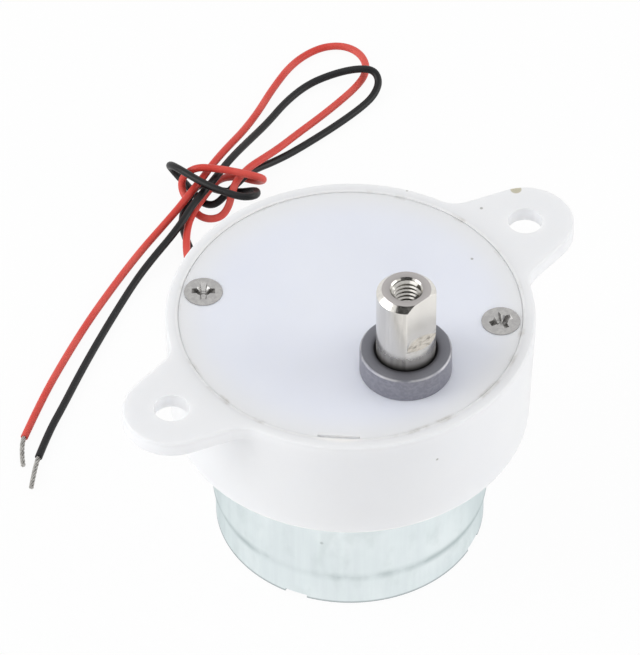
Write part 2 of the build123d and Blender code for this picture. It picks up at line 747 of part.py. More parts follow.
with BuildPart() as end_cap:
    with BuildSketch(Plane.XY.offset(cap_recess)):
        Circle(can_bore_r - fit_gap)
    extrude(amount=cap_t)
    with BuildSketch(Plane.XY.offset(cap_recess - cap_boss_h)):
        Circle(cap_boss_r)
    extrude(amount=cap_boss_h)
    with BuildSketch(Plane.XY.offset(rear_bush_z)):
        Circle(rear_bush_r)
    extrude(amount=cap_top_z - rear_bush_z, mode=Mode.SUBTRACT)
    with BuildSketch(Plane.XY.offset(cap_recess)):
        for side in (1, -1):
            with Locations((side * terminal_mid_x, terminal_mid_y)):
                Rectangle(terminal_t + 2 * fit_gap, terminal_w + 2 * fit_gap)
    extrude(amount=cap_t, mode=Mode.SUBTRACT)

# Terminals: brass blades through the cap, each with a barrel for its lead
with BuildPart() as terminals:
    with BuildSketch(Plane.XY.offset(terminal_low_z)):
        for side in (1, -1):
            with Locations((side * terminal_mid_x, terminal_mid_y)):
                Rectangle(terminal_t, terminal_w)
    extrude(amount=cap_top_z + terminal_rise - terminal_low_z)
    with BuildSketch(Plane.XZ.offset(-terminal_mid_y)):
        for side in (1, -1):
            with Locations((side * terminal_mid_x, barrel_end_z)):
                Circle(barrel_end_r)
    extrude(amount=-(terminal_w / 2 + barrel_end_len))

# Brushes on leaf-spring arms
with BuildPart() as brushes:
    for side in (1, -1):
        with Locations((side * (brush_x + brush_len / 2), 0, commutator_mid_z)):
            Box(brush_len, brush_w, brush_h)

with BuildPart() as brush_arms:
    for side in (1, -1):
        with Locations((side * (brush_arm_x + brush_arm_t / 2), -brush_arm_tail, commutator_mid_z)):
            Box(
                brush_arm_t,
                terminal_y + terminal_w + brush_arm_tail,
                brush_h,
                align=(Align.CENTER, Align.MIN, Align.CENTER),
            )

# Armature: shaft, laminated core, coils, commutator and washers
with BuildPart() as motor_shaft:
    with BuildSketch(Plane.XY.offset(motor_shaft_low_z)):
        Circle(motor_shaft_r)
    extrude(amount=motor_shaft_top_z - motor_shaft_low_z)

with BuildPart() as armature_core:
    with BuildSketch(Plane.XY.offset(core_z)):
        Circle(hub_r)
        for pole in range(pole_count):
            pole_turn = 90 + 360 * pole / pole_count
            add(ring_sector(core_r - shoe_t, core_r, pole_turn, shoe_span))
            with Locations(Location((0, 0, 0), pole_turn)):
                Rectangle(core_r - shoe_t / 2, arm_w, align=(Align.MIN, Align.CENTER))
        Circle(motor_shaft_r, mode=Mode.SUBTRACT)
    extrude(amount=core_len)

coil_start_r = hub_r + coil_hub_gap
coil_end_r = sqrt((core_r - shoe_t) ** 2 - (arm_w / 2 + coil_side) ** 2) - coil_shoe_gap

with BuildPart() as armature_windings:
    for pole in range(pole_count):
        pole_turn = 90 + 360 * pole / pole_count
        coil_plane = Plane(
            origin=(*polar(coil_start_r, pole_turn), core_z + core_len / 2),
            x_dir=(*polar(1, pole_turn + 90), 0),
            z_dir=(*polar(1, pole_turn), 0),
        )
        with BuildSketch(coil_plane):
            RectangleRounded(arm_w + 2 * coil_side, core_len + 2 * coil_over, coil_corner_r)
            Rectangle(arm_w + 2 * fit_gap, core_len + 2 * fit_gap, mode=Mode.SUBTRACT)
        extrude(amount=coil_end_r - coil_start_r)

with BuildPart() as commutator_barrel:
    with BuildSketch(Plane.XY.offset(barrel_z)):
        Circle(barrel_r)
        Circle(motor_shaft_r, mode=Mode.SUBTRACT)
    extrude(amount=barrel_len)

segment_span = 360 / segment_count - degrees(segment_gap / barrel_r)

with BuildPart() as commutator:
    with BuildSketch(Plane.XY.offset(barrel_z)):
        for segment in range(segment_count):
            segment_turn = 30 + 360 * segment / segment_count
            add(ring_sector(barrel_r, commutator_r, segment_turn, segment_span))
    extrude(amount=barrel_len)

with BuildPart() as thrust_washers:
    for low_z in (rear_washer_z, front_washer_z):
        with BuildSketch(Plane.XY.offset(low_z)):
            Circle(washer_r)
            Circle(motor_shaft_r, mode=Mode.SUBTRACT)
        extrude(amount=washer_t)

with BuildPart() as motor_pinion:
    with BuildSketch(Plane.XY.offset(can_h + spigot_h + gear_run_gap)):
        add(
            gear_face(
                gear_module,
                motor_pinion_teeth,
                pinion_shift,
                pinion_flank_steps,
                motor_pinion_turn,
            )
        )
        Circle(motor_shaft_r, mode=Mode.SUBTRACT)
    extrude(amount=motor_shaft_top_z - can_h - spigot_h - gear_run_gap)


# Leads: each starts in its terminal's barrel, leaves through the notch in the can, goes
# through the loose knot and ends in a short tinned tip
lead_lie = lead_r + lead_lift
lead_layer = 2 * lead_r + lead_layer_gap
lead_start_y = terminal_y + terminal_w + barrel_end_len


def lead_points(side, route):
    """The corners of a lead, from the end of its terminal's barrel."""
    corners = [(x, y, lead_lie + layers * lead_layer) for x, y, layers in route]
    exit_x = side * terminal_mid_x
    exit_runs = [(exit_x, lead_start_y + run, barrel_end_z) for run in (0, lead_exit)]
    return [*exit_runs, *corners]


def bend_radii(points):
    """The bend at every corner, as large as the shorter run beside it allows."""
    corners = [Vector(*point) for point in points]
    radii = []
    for before, corner, after in zip(corners, corners[1:], corners[2:]):
        run_in = corner - before
        run_out = after - corner
        half_turn = radians(run_in.get_angle(run_out)) / 2
        radii.append(bend_share * min(run_in.length, run_out.length) / tan(half_turn))
    return radii


def wire(name, points, wire_r):
    """A round wire along straight runs joined by tangent bends."""
    radii = bend_radii(points)
    with BuildPart() as tube:
        with BuildLine() as route:
            FilletPolyline(*points, radius=radii)
        with BuildSketch(Plane(origin=route.line @ 0, z_dir=route.line % 0)):
            Circle(wire_r)
        sweep(path=route.line)
    length = route.wire().length
    share = tube.part.volume / (pi * wire_r**2 * length)
    print(f"{name}: length {length:.1f}, smallest bend {min(radii):.2f}, volume share {share:.4f}")
    print(f"{name} bends:", " ".join(f"{radius:.1f}" for radius in radii))
    return tube


def tinned_points(points, tip):
    """A short bent wire that goes on from the end of a lead."""
    before, end = Vector(*points[-2]), Vector(*points[-1])
    elbow = end + (end - before).normalized() * tinned_lead_in
    return [points[-1], tuple(elbow), (*tip, lead_lie)]


red_points = lead_points(-1, red_route)
black_points = lead_points(1, black_route)
red_lead = wire("red lead", red_points, lead_r)
black_lead = wire("black lead", black_points, lead_r)
red_tinned_end = wire("red tinned end", tinned_points(red_points, red_tip), tinned_r)
black_tinned_end = wire("black tinned end", tinned_points(black_points, black_tip), tinned_r)


pieces = {
    "gearbox_housing": gearbox_housing,
    "gearbox_lid": gearbox_lid,
    "lid_screws": lid_screws,
    "motor_screws": motor_screws,
    "gear_pins": gear_pins,
    "output_bush": output_bush,
    "lower_bush": lower_bush,
    "output_shaft": output_shaft,
    "output_gear": output_gear,
    "shaft_clip": shaft_clip,
    "output_washer": output_washer,
    "first_gear": first_gear,
    "second_gear": second_gear,
    "third_gear": third_gear,
    "motor_can": motor_can,
    "flux_ring": flux_ring,
    "field_magnets": field_magnets,
    "magnet_clips": magnet_clips,
    "front_bush": front_bush,
    "rear_bush": rear_bush,
    "end_cap": end_cap,
    "terminals": terminals,
    "brushes": brushes,
    "brush_arms": brush_arms,
    "motor_shaft": motor_shaft,
    "armature_core": armature_core,
    "armature_windings": armature_windings,
    "commutator_barrel": commutator_barrel,
    "commutator": commutator,
    "thrust_washers": thrust_washers,
    "motor_pinion": motor_pinion,
    "red_lead": red_lead,
    "black_lead": black_lead,
    "red_tinned_end": red_tinned_end,
    "black_tinned_end": black_tinned_end,
}

os.makedirs("parts", exist_ok=True)
for piece_name, piece in pieces.items():
    piece.part.label = piece_name
    export_step(piece.part, f"parts/{piece_name}.step")
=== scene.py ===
# %% [markdown]
# # A small geared motor, dressed over its CAD frame
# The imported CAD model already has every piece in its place: the white gearbox, the steel motor, the
# off-centre shaft and the two leads. Blender's work here is the surface of each piece, and the forms
# that solids leave plain: the cross recesses of the screws, the thread in the shaft, the soft line of
# the leads and the strands of their bare ends. The frame comes first, because every later step reads
# its places from it.

# %% Load the frame
import json
import math
import bpy
from mathutils import Matrix, Vector


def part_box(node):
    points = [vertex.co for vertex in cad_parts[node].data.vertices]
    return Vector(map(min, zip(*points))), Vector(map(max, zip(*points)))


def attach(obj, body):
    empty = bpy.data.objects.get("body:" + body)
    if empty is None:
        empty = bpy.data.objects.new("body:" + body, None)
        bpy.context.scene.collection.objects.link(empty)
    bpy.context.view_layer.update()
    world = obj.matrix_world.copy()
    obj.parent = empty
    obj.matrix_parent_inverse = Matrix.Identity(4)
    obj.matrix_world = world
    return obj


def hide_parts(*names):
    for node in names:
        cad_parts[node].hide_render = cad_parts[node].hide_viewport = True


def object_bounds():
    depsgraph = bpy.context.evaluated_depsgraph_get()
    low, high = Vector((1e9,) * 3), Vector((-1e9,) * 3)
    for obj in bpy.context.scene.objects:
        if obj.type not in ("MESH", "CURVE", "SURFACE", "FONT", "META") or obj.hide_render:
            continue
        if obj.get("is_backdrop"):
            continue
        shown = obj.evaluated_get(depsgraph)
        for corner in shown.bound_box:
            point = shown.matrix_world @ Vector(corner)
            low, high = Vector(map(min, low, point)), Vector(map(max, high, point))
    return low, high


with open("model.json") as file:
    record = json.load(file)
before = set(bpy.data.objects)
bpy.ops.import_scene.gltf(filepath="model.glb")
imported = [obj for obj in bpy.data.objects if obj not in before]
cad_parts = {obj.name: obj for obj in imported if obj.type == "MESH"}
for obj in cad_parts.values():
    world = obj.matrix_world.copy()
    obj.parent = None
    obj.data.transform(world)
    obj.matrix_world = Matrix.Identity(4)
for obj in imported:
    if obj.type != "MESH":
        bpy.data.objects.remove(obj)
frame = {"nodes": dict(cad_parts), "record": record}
cad_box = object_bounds()
nodes = frame["nodes"]
MM = 0.001
print("nodes:", len(nodes), "box:", [round(side / MM, 1) for side in cad_box[1] - cad_box[0]], "mm")

# %% [markdown]
# ## One way to place nodes
# Shader trees, geometry trees and the world all hold nodes with named sockets. One small helper makes
# a node, sets its options, and fills each socket: a plain value is written on the socket, and another
# node's output is linked to it. Everything below reads shorter for it.

# %% A helper for every node tree
def set_inputs(tree, node, sockets):
    """Fills a node's inputs. sockets maps a name or number to a value or to another node's output."""
    for name, value in sockets.items():
        if isinstance(value, bpy.types.NodeSocket):
            tree.links.new(value, node.inputs[name])
        else:
            node.inputs[name].default_value = value


def put(tree, kind, sockets=None, **options):
    """A new node with its options set and its inputs filled."""
    made = tree.nodes.new(kind)
    for name, value in options.items():
        setattr(made, name, value)
    set_inputs(tree, made, sockets or {})
    return made


def calc(tree, operation, *values):
    """The output of a Math node."""
    return put(tree, "ShaderNodeMath", dict(enumerate(values)), operation=operation).outputs[0]


def times(tree, first, second):
    """Two values multiplied."""
    return calc(tree, "MULTIPLY", first, second)


def vector(tree, operation, *values):
    """The outputs of a Vector Math node."""
    return put(tree, "ShaderNodeVectorMath", dict(enumerate(values)), operation=operation).outputs


def remap(tree, value, low, high, to_low=0.0, to_high=1.0):
    """A value moved from one range to another, with a soft start and end."""
    sockets = {"Value": value, "From Min": low, "From Max": high, "To Min": to_low, "To Max": to_high}
    return put(tree, "ShaderNodeMapRange", sockets, interpolation_type="SMOOTHSTEP").outputs["Result"]


def tint(tree, amount, first, second):
    """A colour between two colours."""
    sockets = {0: amount, 6: first, 7: second}
    return put(tree, "ShaderNodeMix", sockets, data_type="RGBA").outputs[2]


def marked(tree, colour, mask, share, shade):
    """A colour that goes over to a shade, by a share, where a mask is 1."""
    return tint(tree, times(tree, mask, share), colour, shade)


def rgb(red, green, blue):
    """A colour as a screen shows it, 0 to 255, turned into the light values that shaders use."""
    def light(part):
        part /= 255
        return part / 12.92 if part <= 0.04045 else ((part + 0.055) / 1.055) ** 2.4
    return (light(red), light(green), light(blue), 1.0)


# %% [markdown]
# ## The camera
# The photograph looks down on the motor from its front left at about 46 degrees, from far off with a
# long lens, so the circles are nearly true ellipses. The place was found by fitting a camera to the
# rim, the ear holes and the shaft's top. With the sensor's fit left on automatic, the lens counts
# along the picture's longer side, which is its height here.

# %% Camera at the photograph's angle
camera = bpy.data.objects.new("camera", bpy.data.cameras.new("camera"))
bpy.context.collection.objects.link(camera)
bpy.context.scene.camera = camera
camera_place = Vector((-466.63, -625.84, 839.52)) * MM
camera_aim = Vector((-3.2998, 2.4334, 34.89)) * MM
picture_height = 655
focal_pixels = 8310.16
camera.location = camera_place
camera.rotation_euler = (camera_aim - camera_place).to_track_quat("-Z", "Y").to_euler()
camera.data.sensor_width = 36
camera.data.lens = camera.data.sensor_width * focal_pixels / picture_height
camera.data.clip_start, camera.data.clip_end = 0.05, 20
print("lens:", round(camera.data.lens, 1), "mm")

# %% [markdown]
# ## Leads
# Two soft leads leave the motor through a notch in its rim, run back along the table, tie themselves
# in a loose overhand knot with a bow, and come forward again. Their routes are the same points as in
# the solids, counted in millimetres along X and Y and in layers of lead above the table.
# As control points of a NURBS spline of order 3 they give one smooth line that dips and climbs as a
# limp wire does, with no straight runs between corners.

# %% Routes of the two leads
lead_r = 0.54
lead_lie = lead_r + 0.025
lead_layer = 2 * lead_r + 0.37
barrel_x, barrel_y, barrel_z = 6.2, 10.6, 1.45
barrel_run = 1.4
red_route = [
    (-5.5, 13.5, 0.5), (-3.9, 14.6, 0.4), (-2, 15.2, 0.3), (-0.3, 15.9, 0.2), (0.8, 17.3, 0.1),
    (1.4, 19.6, 0.05), (2.2, 23.6, 0), (3.4, 29.6, 0), (4.9, 36.6, 0.05), (6.2, 43, 0.4),
    (7.3, 47.2, 0.8), (8.7, 50.4, 1), (10.4, 53, 1), (12.2, 55.2, 1), (14.2, 56.9, 1),
    (16.4, 58.2, 1), (18.7, 59.3, 1), (20.8, 60.2, 1.05), (22.6, 60.9, 0.5), (24.2, 60.8, 0.05),
    (25.3, 59.9, 0), (26, 58.7, 0), (26.4, 57.4, 0.4), (26.2, 56, 1.4), (25.4, 55.2, 2.5),
    (23.6, 56.5, 3.05), (21.9, 58.7, 3.05), (20.4, 60.3, 3.05), (19, 61.6, 3.05),
    (17.9, 62.6, 2.45), (17, 63.2, 1.4), (16.6, 62.7, 0.3), (16.3, 61, 0), (15.8, 58.9, 0),
    (15.8, 57, 0), (16.7, 55.7, 0), (18.3, 55.2, 0.05), (19.8, 55.6, 0.65), (20.9, 56.4, 1.55),
    (22.2, 57.3, 2), (23.9, 58.1, 2), (26, 58.7, 2), (28.8, 59.4, 1.6), (32.2, 60.4, 1.05),
    (36.4, 61.7, 0.6), (41.2, 63, 0.15), (46, 64.2, 0), (49.6, 65.2, 0), (52.2, 66.5, 0),
    (53.8, 68.7, 0), (54, 71.4, 0), (52.6, 73.7, 0), (49.6, 75, 0), (44.9, 74.6, 0), (39.6, 72.1, 0),
    (34.6, 69, 0.25), (30.2, 66.5, 0.8), (26.4, 64.5, 1.55), (23.4, 63, 1.95), (20.9, 61.8, 2.05),
    (18.6, 60.6, 2.05), (16.1, 59.6, 1.95), (13.2, 58.4, 1.7), (9.2, 57.4, 0.95), (4.3, 56, 0.25),
    (-2, 53.2, 0), (-9, 49.6, 0), (-16, 45.5, 0), (-22.8, 41.2, 0), (-29.2, 36.5, 0),
]
black_route = [
    (5.9, 13.6, 0.45), (4.9, 15.2, 0.3), (4, 17, 0.15), (3.8, 19.4, 0.05), (4.2, 22.8, 0),
    (5.3, 27.8, 0), (6.5, 34.4, 0), (8, 41.4, 0), (9, 46.8, 0), (10.1, 50.4, 0), (11.1, 53.4, 0),
    (12, 55.8, 0), (13, 57.7, 0.3), (14.4, 58.9, 0.75), (16, 60, 1.05), (17.8, 61, 1.1),
    (19.4, 61.5, 0.5), (20.5, 60.7, 0), (21.3, 59.4, 0), (22.4, 58.5, 0), (23.5, 57.4, 0.1),
    (24.1, 56, 0.8), (23.9, 54.5, 1.7), (22.9, 53, 2.45), (21.6, 52.5, 2.95), (20.3, 53.2, 3.05),
    (19.1, 55.1, 3.05), (18, 57.4, 3.05), (17.2, 59.9, 3.05), (16.7, 62.6, 2.95),
    (16.6, 64.8, 2.5), (16.9, 66.2, 1.7), (17.6, 66.4, 0.7), (18, 65.2, 0.05), (18, 63.6, 0),
    (17.9, 61.8, 0), (17.7, 60.1, 0), (17.8, 58.8, 0), (18.6, 57.9, 0), (19.6, 57.6, 0.3),
    (20.8, 57.6, 0.85), (22.2, 57.9, 1), (23.8, 58.4, 1), (25.6, 58.9, 1.05), (27.6, 59.3, 0.7),
    (30.2, 59.5, 0.3), (33.4, 59.7, 0.05), (37.4, 60, 0), (42.6, 60.5, 0), (47.6, 61.3, 0),
    (50.4, 62.1, 0.1), (52.3, 63.3, 0.6), (52.6, 65, 1.2), (51, 66.6, 1.2), (48.4, 68.5, 0.6),
    (44.4, 69.8, 0), (39.6, 68.8, 0), (34.6, 66.5, 0.25), (30.2, 64.6, 0.8), (26.4, 62.7, 1.55),
    (23.4, 61.2, 1.95), (20.8, 59.9, 2.05), (18.3, 58.8, 2.05), (15.9, 57.8, 2.05),
    (13.6, 56.7, 1.95), (11.5, 55.6, 1.75), (9, 54.8, 1.2), (5.7, 53.9, 0.6), (1.6, 52.4, 0.1),
    (-3.8, 49.4, 0), (-9.8, 45.8, 0), (-15.8, 42, 0), (-21.4, 38.2, 0), (-25.9, 35.3, 0),
    (-29.8, 32.2, 0),
]


def spline_object(name, points):
    """A curve of one NURBS spline of order 3, from points in millimetres."""
    curve = bpy.data.curves.new(name, "CURVE")
    curve.dimensions = "3D"
    spline = curve.splines.new("NURBS")
    spline.points.add(len(points) - 1)
    for control, place in zip(spline.points, points):
        control.co = (*(Vector(place) * MM), 1)
    spline.order_u = 3
    spline.use_endpoint_u = True
    spline.resolution_u = 8
    made = bpy.data.objects.new(name, curve)
    bpy.context.collection.objects.link(made)
    return made


def lead_line(name, side, route):
    """A smooth line from the end of the terminal's barrel along a route."""
    barrel = [(side * barrel_x, barrel_y, barrel_z), (side * barrel_x, barrel_y + barrel_run, barrel_z)]
    return spline_object(name, barrel + [(x, y, lead_lie + layers * lead_layer) for x, y, layers in route])


red_lead = lead_line("red_lead_insulation", -1, red_route)
black_lead = lead_line("black_lead_insulation", 1, black_route)
for lead in (red_lead, black_lead):
    lead.data.bevel_depth = lead_r * MM
    lead.data.bevel_resolution = 5
    lead.data.use_fill_caps = True
    print(lead.name, "points:", len(lead.data.splines[0].points))

# %% [markdown]
# ## Floor and light
# The motor stands on a plain white table under soft boxes. The white of the picture's ground comes
# from the floor itself: to the camera, and to metal that mirrors it, most of the floor is plain white,
# and the rest still takes the motor's shadow. Seen from below the floor is clear, so the underside can
# be looked at too. The lamps are large and stay at a plain level, so colours come out as written. A dark
# card behind the camera stands for the photographer, whose dark shape metal that faces the lens shows.

# %% World, floor and lamps
def seen_or_mirrored(tree):
    """1 for what the camera, a mirror or clear plastic sees, and 0 for light that falls on things."""
    path = put(tree, "ShaderNodeLightPath").outputs
    direct = calc(tree, "MAXIMUM", path["Is Camera Ray"], path["Is Glossy Ray"])
    return calc(tree, "MAXIMUM", direct, path["Is Transmission Ray"])


def sheet(name, half_x, half_y, height):
    """A flat sheet that faces up."""
    mesh = bpy.data.meshes.new(name)
    corners = [(-half_x, -half_y), (half_x, -half_y), (half_x, half_y), (-half_x, half_y)]
    mesh.from_pydata([(x, y, height) for x, y in corners], [], [(0, 1, 2, 3)])
    made = bpy.data.objects.new(name, mesh)
    bpy.context.collection.objects.link(made)
    return made


scene = bpy.context.scene
scene.view_settings.view_transform = "Standard"
scene.world = bpy.data.worlds.new("studio")
scene.world.use_nodes = True
sky = scene.world.node_tree
sky.nodes.clear()
fill_strength, white_strength = 0.74, 1.0
fill = put(sky, "ShaderNodeBackground", {"Color": (1, 1, 1, 1), "Strength": fill_strength}).outputs[0]
white = put(sky, "ShaderNodeBackground", {"Color": (1, 1, 1, 1), "Strength": white_strength}).outputs[0]
both_skies = put(sky, "ShaderNodeMixShader", {0: seen_or_mirrored(sky), 1: fill, 2: white}).outputs[0]
put(sky, "ShaderNodeOutputWorld", {"Surface": both_skies})

floor = sheet("table_top", 1.5, 1.5, -0.0001)
floor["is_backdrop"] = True
table_white = bpy.data.materials.new("table_white")
table_white.use_nodes = True
tree = table_white.node_tree
tree.nodes.clear()
white_share = 0.94
lit = put(tree, "ShaderNodeBsdfDiffuse", {"Color": (0.9, 0.9, 0.9, 1)}).outputs[0]
glow = put(tree, "ShaderNodeEmission", {"Strength": 1.0}).outputs[0]
share = times(tree, seen_or_mirrored(tree), white_share)
top = put(tree, "ShaderNodeMixShader", {0: share, 1: lit, 2: glow}).outputs[0]
clear = put(tree, "ShaderNodeBsdfTransparent").outputs[0]
under = put(tree, "ShaderNodeNewGeometry").outputs["Backfacing"]
sided = put(tree, "ShaderNodeMixShader", {0: under, 1: top, 2: clear}).outputs[0]
put(tree, "ShaderNodeOutputMaterial", {"Surface": sided})
floor.data.materials.append(table_white)


def soft_box(name, place, power):
    """A square lamp that faces the motor."""
    lamp = bpy.data.lights.new(name, "AREA")
    lamp.size, lamp.energy = 0.5, power
    made = bpy.data.objects.new(name, lamp)
    made.location = place
    motor_middle = Vector((0, 0, 0.03))
    made.rotation_euler = (motor_middle - Vector(place)).to_track_quat("-Z", "Y").to_euler()
    bpy.context.collection.objects.link(made)


soft_box("key_box", (-0.5, 0.25, 0.75), 0.8)
soft_box("front_box", (-0.3, -0.62, 0.3), 0.7)
soft_box("left_box", (-0.62, 0.35, 0.3), 2.1)
soft_box("right_box", (0.6, -0.42, 0.3), 1.6)

card = sheet("dark_card", 0.7, 0.3, 0)
card.location = camera_aim + (camera_place - camera_aim) * 1.1
card.rotation_euler = camera.rotation_euler
card.visible_camera = False
card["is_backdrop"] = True
card_black = bpy.data.materials.new("card_black")
card_black.use_nodes = True
card_black.node_tree.nodes["Principled BSDF"].inputs["Base Color"].default_value = (0.01, 0.01, 0.01, 1)
card.data.materials.append(card_black)

# %% [markdown]
# ## Effects that several finishes share
# Fine grain, scattered specks, and marks that stay on a ring or at a height come back on many of the
# pieces. Each is one shader group with named inputs, made once and placed in a material with its own
# values. They read Object coordinates, and because every piece sits at the origin those are simply
# metres in the motor's own frame, so a mark can be put where the real one is.

# %% Shader groups
def effect(name, result, *inputs):
    """A shader group with float or vector inputs, given as (name, value), and one result."""
    group = bpy.data.node_groups.new(name, "ShaderNodeTree")
    for label, value in inputs:
        kind = "NodeSocketVector" if isinstance(value, tuple) else "NodeSocketFloat"
        group.interface.new_socket(label, in_out="INPUT", socket_type=kind).default_value = value
    group.interface.new_socket(result, in_out="OUTPUT", socket_type="NodeSocketFloat")
    place = put(group, "ShaderNodeTexCoord").outputs["Object"]
    return group, put(group, "NodeGroupInput").outputs, put(group, "NodeGroupOutput").inputs, place


def use(tree, group, **sockets):
    """Places a shader group and gives its result."""
    return put(tree, "ShaderNodeGroup", sockets, node_tree=group).outputs[0]


grain, given, out, place = effect(
    "fine_grain", "Height", ("Scale", 900.0), ("Stretch", (1, 1, 1)), ("Detail", 4.0)
)
stretched = put(grain, "ShaderNodeMapping", {"Vector": place, "Scale": given["Stretch"]}).outputs[0]
noise = put(grain, "ShaderNodeTexNoise", {
    "Vector": stretched, "Scale": given["Scale"], "Detail": given["Detail"]})
grain.links.new(noise.outputs["Fac"], out["Height"])

specks, given, out, place = effect(
    "dirt_specks", "Mask", ("Scale", 250.0), ("Size", 0.12), ("Share", 0.1)
)
cells = put(specks, "ShaderNodeTexVoronoi", {"Vector": place, "Scale": given["Scale"]}).outputs
chosen = put(specks, "ShaderNodeSeparateColor", {0: cells["Color"]}).outputs["Red"]
kept = calc(specks, "LESS_THAN", chosen, given["Share"])
full_part = 0.6
dot = put(specks, "ShaderNodeMapRange", {
    "Value": cells["Distance"], "From Min": given["Size"],
    "From Max": times(specks, given["Size"], full_part)})
specks.links.new(times(specks, dot.outputs[0], kept), out["Mask"])

ring_mark, given, out, place = effect(
    "ring_mark", "Mask", ("Centre", (0, 0, 0)), ("Radius", 0.01), ("Width", 0.001)
)
offset = vector(ring_mark, "SUBTRACT", place, given["Centre"])[0]
reach = vector(ring_mark, "LENGTH", vector(ring_mark, "MULTIPLY", offset, (1, 1, 0))[0])["Value"]
away = calc(ring_mark, "ABSOLUTE", calc(ring_mark, "SUBTRACT", reach, given["Radius"]))
ring_mark.links.new(remap(ring_mark, away, given["Width"], 0.0), out["Mask"])

level_mark, given, out, place = effect("level_mark", "Mask", ("Level", 0.01), ("Width", 0.001))
level = put(level_mark, "ShaderNodeSeparateXYZ", {0: place}).outputs["Z"]
away = calc(level_mark, "ABSOLUTE", calc(level_mark, "SUBTRACT", level, given["Level"]))
level_mark.links.new(remap(level_mark, away, given["Width"], 0.0), out["Mask"])
print("shader groups:", [group.name for group in (grain, specks, ring_mark, level_mark)])


# %% A start for every material
def finish_tree(name):
    """A new material, its tree and its main shader."""
    made = bpy.data.materials.new(name)
    made.use_nodes = True
    tree = made.node_tree
    return made, tree, tree.nodes["Principled BSDF"]


def feed(tree, shader, **sockets):
    """Fills sockets of the main shader. An underscore in a name stands for a space."""
    set_inputs(tree, shader, {name.replace("_", " "): value for name, value in sockets.items()})


def bump(tree, height, depth):
    """A normal from a height, with its depth in millimetres."""
    return put(tree, "ShaderNodeBump", {"Height": height, "Distance": depth * MM}).outputs[0]


# %% [markdown]
# ## White nylon
# The gearbox is moulded in white nylon that lets a little light in, which is why its edges glow. The
# lid is a cooler white than the housing, and greys towards the rim. Both have a fine satin grain, a
# faint cloudiness, handling specks, and grey scuffs along the seam where the lid was pressed in. One ear
# has a small stain. Subsurface light does the glow, and the marks are masks: rings round the seam, the
# notch and the stain, and bands at the height of the rim and of the lower edge. The lower edge is shiny
# and painted white as a painted glow, the housing's top face is painted greyer as painted shade, and the
# seam's groove and the notch's walls are painted lighter, as painted light against their shade.

# %% Housing and lid
seam_r = 23.4
notch_r, notch_turn = 23.3, math.radians(229.5)
notch_place = (notch_r * MM * math.cos(notch_turn), notch_r * MM * math.sin(notch_turn), 0.0)
stain_place = (32.3 * MM, 5.6 * MM, 0.0)
housing_low, housing_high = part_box("gearbox_housing")
# the lid's grey towards its rim, and the painted shade of the housing's top face
rim_tone_and_top_shade = rgb(232, 233, 235)
painted_light_white = (1, 1, 1, 1)


def moulded_nylon(name, pale, cool, scuff_r, foot, top, blend, milk, sheen):
    """White nylon between two colours, with sizes in millimetres: the radius of its scuffs, the heights
    of its lower edge, painted white as a glow, and of its upper face, painted grey as shade, how far it
    greys from the rim, and how deep light goes."""
    made, tree, shader = finish_tree(name)
    cloud = remap(tree, use(tree, grain, Scale=55.0, Detail=3.0), 0.3, 0.7)
    colour = tint(tree, cloud, pale, cool)
    toward_rim = use(tree, ring_mark, Radius=seam_r * MM, Width=blend * MM)
    colour = marked(tree, colour, toward_rim, toward_rim, rim_tone_and_top_shade)
    # painted shade: the housing's top face is greyed where light from above falls brightest
    top_face_painted_shade = use(tree, level_mark, Level=top * MM, Width=0.9 * MM)
    colour = marked(tree, colour, top_face_painted_shade, 0.9, rim_tone_and_top_shade)
    # painted light: the seam's groove is lightened against the shade that falls in it
    groove_painted_light = use(tree, ring_mark, Radius=seam_r * MM, Width=0.35 * MM)
    colour = marked(tree, colour, groove_painted_light, 0.5, painted_light_white)
    by_seam = use(tree, ring_mark, Radius=scuff_r * MM, Width=0.45 * MM)
    broken = remap(tree, use(tree, grain, Scale=260.0, Detail=5.0), 0.5, 0.7)
    colour = marked(tree, colour, times(tree, by_seam, broken), 0.55, rgb(176, 170, 160))
    # painted light: the pry notch's walls are lightened against their shade, to a soft crescent
    by_notch = use(tree, ring_mark, Centre=notch_place, Radius=0.0, Width=4.2 * MM)
    notch_painted_light = use(tree, ring_mark, Radius=notch_r * MM, Width=0.9 * MM)
    colour = marked(tree, colour, by_notch, notch_painted_light, rgb(253, 251, 247))
    by_stain = use(tree, ring_mark, Centre=stain_place, Radius=0.0, Width=1.3 * MM)
    stain = times(tree, remap(tree, by_stain, 0.25, 0.5), remap(tree, broken, 0.0, 0.3, 0.75, 1.0))
    colour = marked(tree, colour, stain, 0.85, rgb(158, 146, 92))
    dots = use(tree, specks, Scale=170.0, Size=0.045, Share=0.5)
    colour = marked(tree, colour, dots, 0.6, rgb(120, 116, 104))
    # painted glow: the housing's lower edge is painted white where light comes through it, and the same mask
    # gives it a shiny coat
    lower_edge_glow_and_coat = remap(tree, use(tree, level_mark, Level=foot * MM, Width=0.9 * MM), 0.0, 0.5)
    colour = tint(tree, lower_edge_glow_and_coat, colour, painted_light_white)
    fine = use(tree, grain, Scale=2600.0, Detail=3.0)
    feed(tree, shader, Base_Color=colour, Roughness=remap(tree, fine, 0.3, 0.7, 0.36, 0.5),
         Subsurface_Weight=0.6, Subsurface_Radius=(1.0, 0.97, 0.94), Subsurface_Scale=milk * MM,
         Specular_IOR_Level=0.4, Sheen_Weight=sheen, Sheen_Roughness=0.5,
         Coat_Weight=lower_edge_glow_and_coat, Coat_Roughness=0.2, Normal=bump(tree, fine, 0.004))
    return made


housing_nylon = moulded_nylon(
    "housing_nylon", rgb(241, 242, 244), rgb(238, 239, 242), scuff_r=23.45, foot=housing_low.z / MM,
    top=housing_high.z / MM, blend=0.3, milk=2.2, sheen=0.5)
lid_nylon = moulded_nylon(
    "lid_nylon", rgb(233, 236, 245), rgb(230, 233, 243), scuff_r=23.1, foot=0.0,
    top=0.0, blend=8.0, milk=0.9, sheen=0.0)
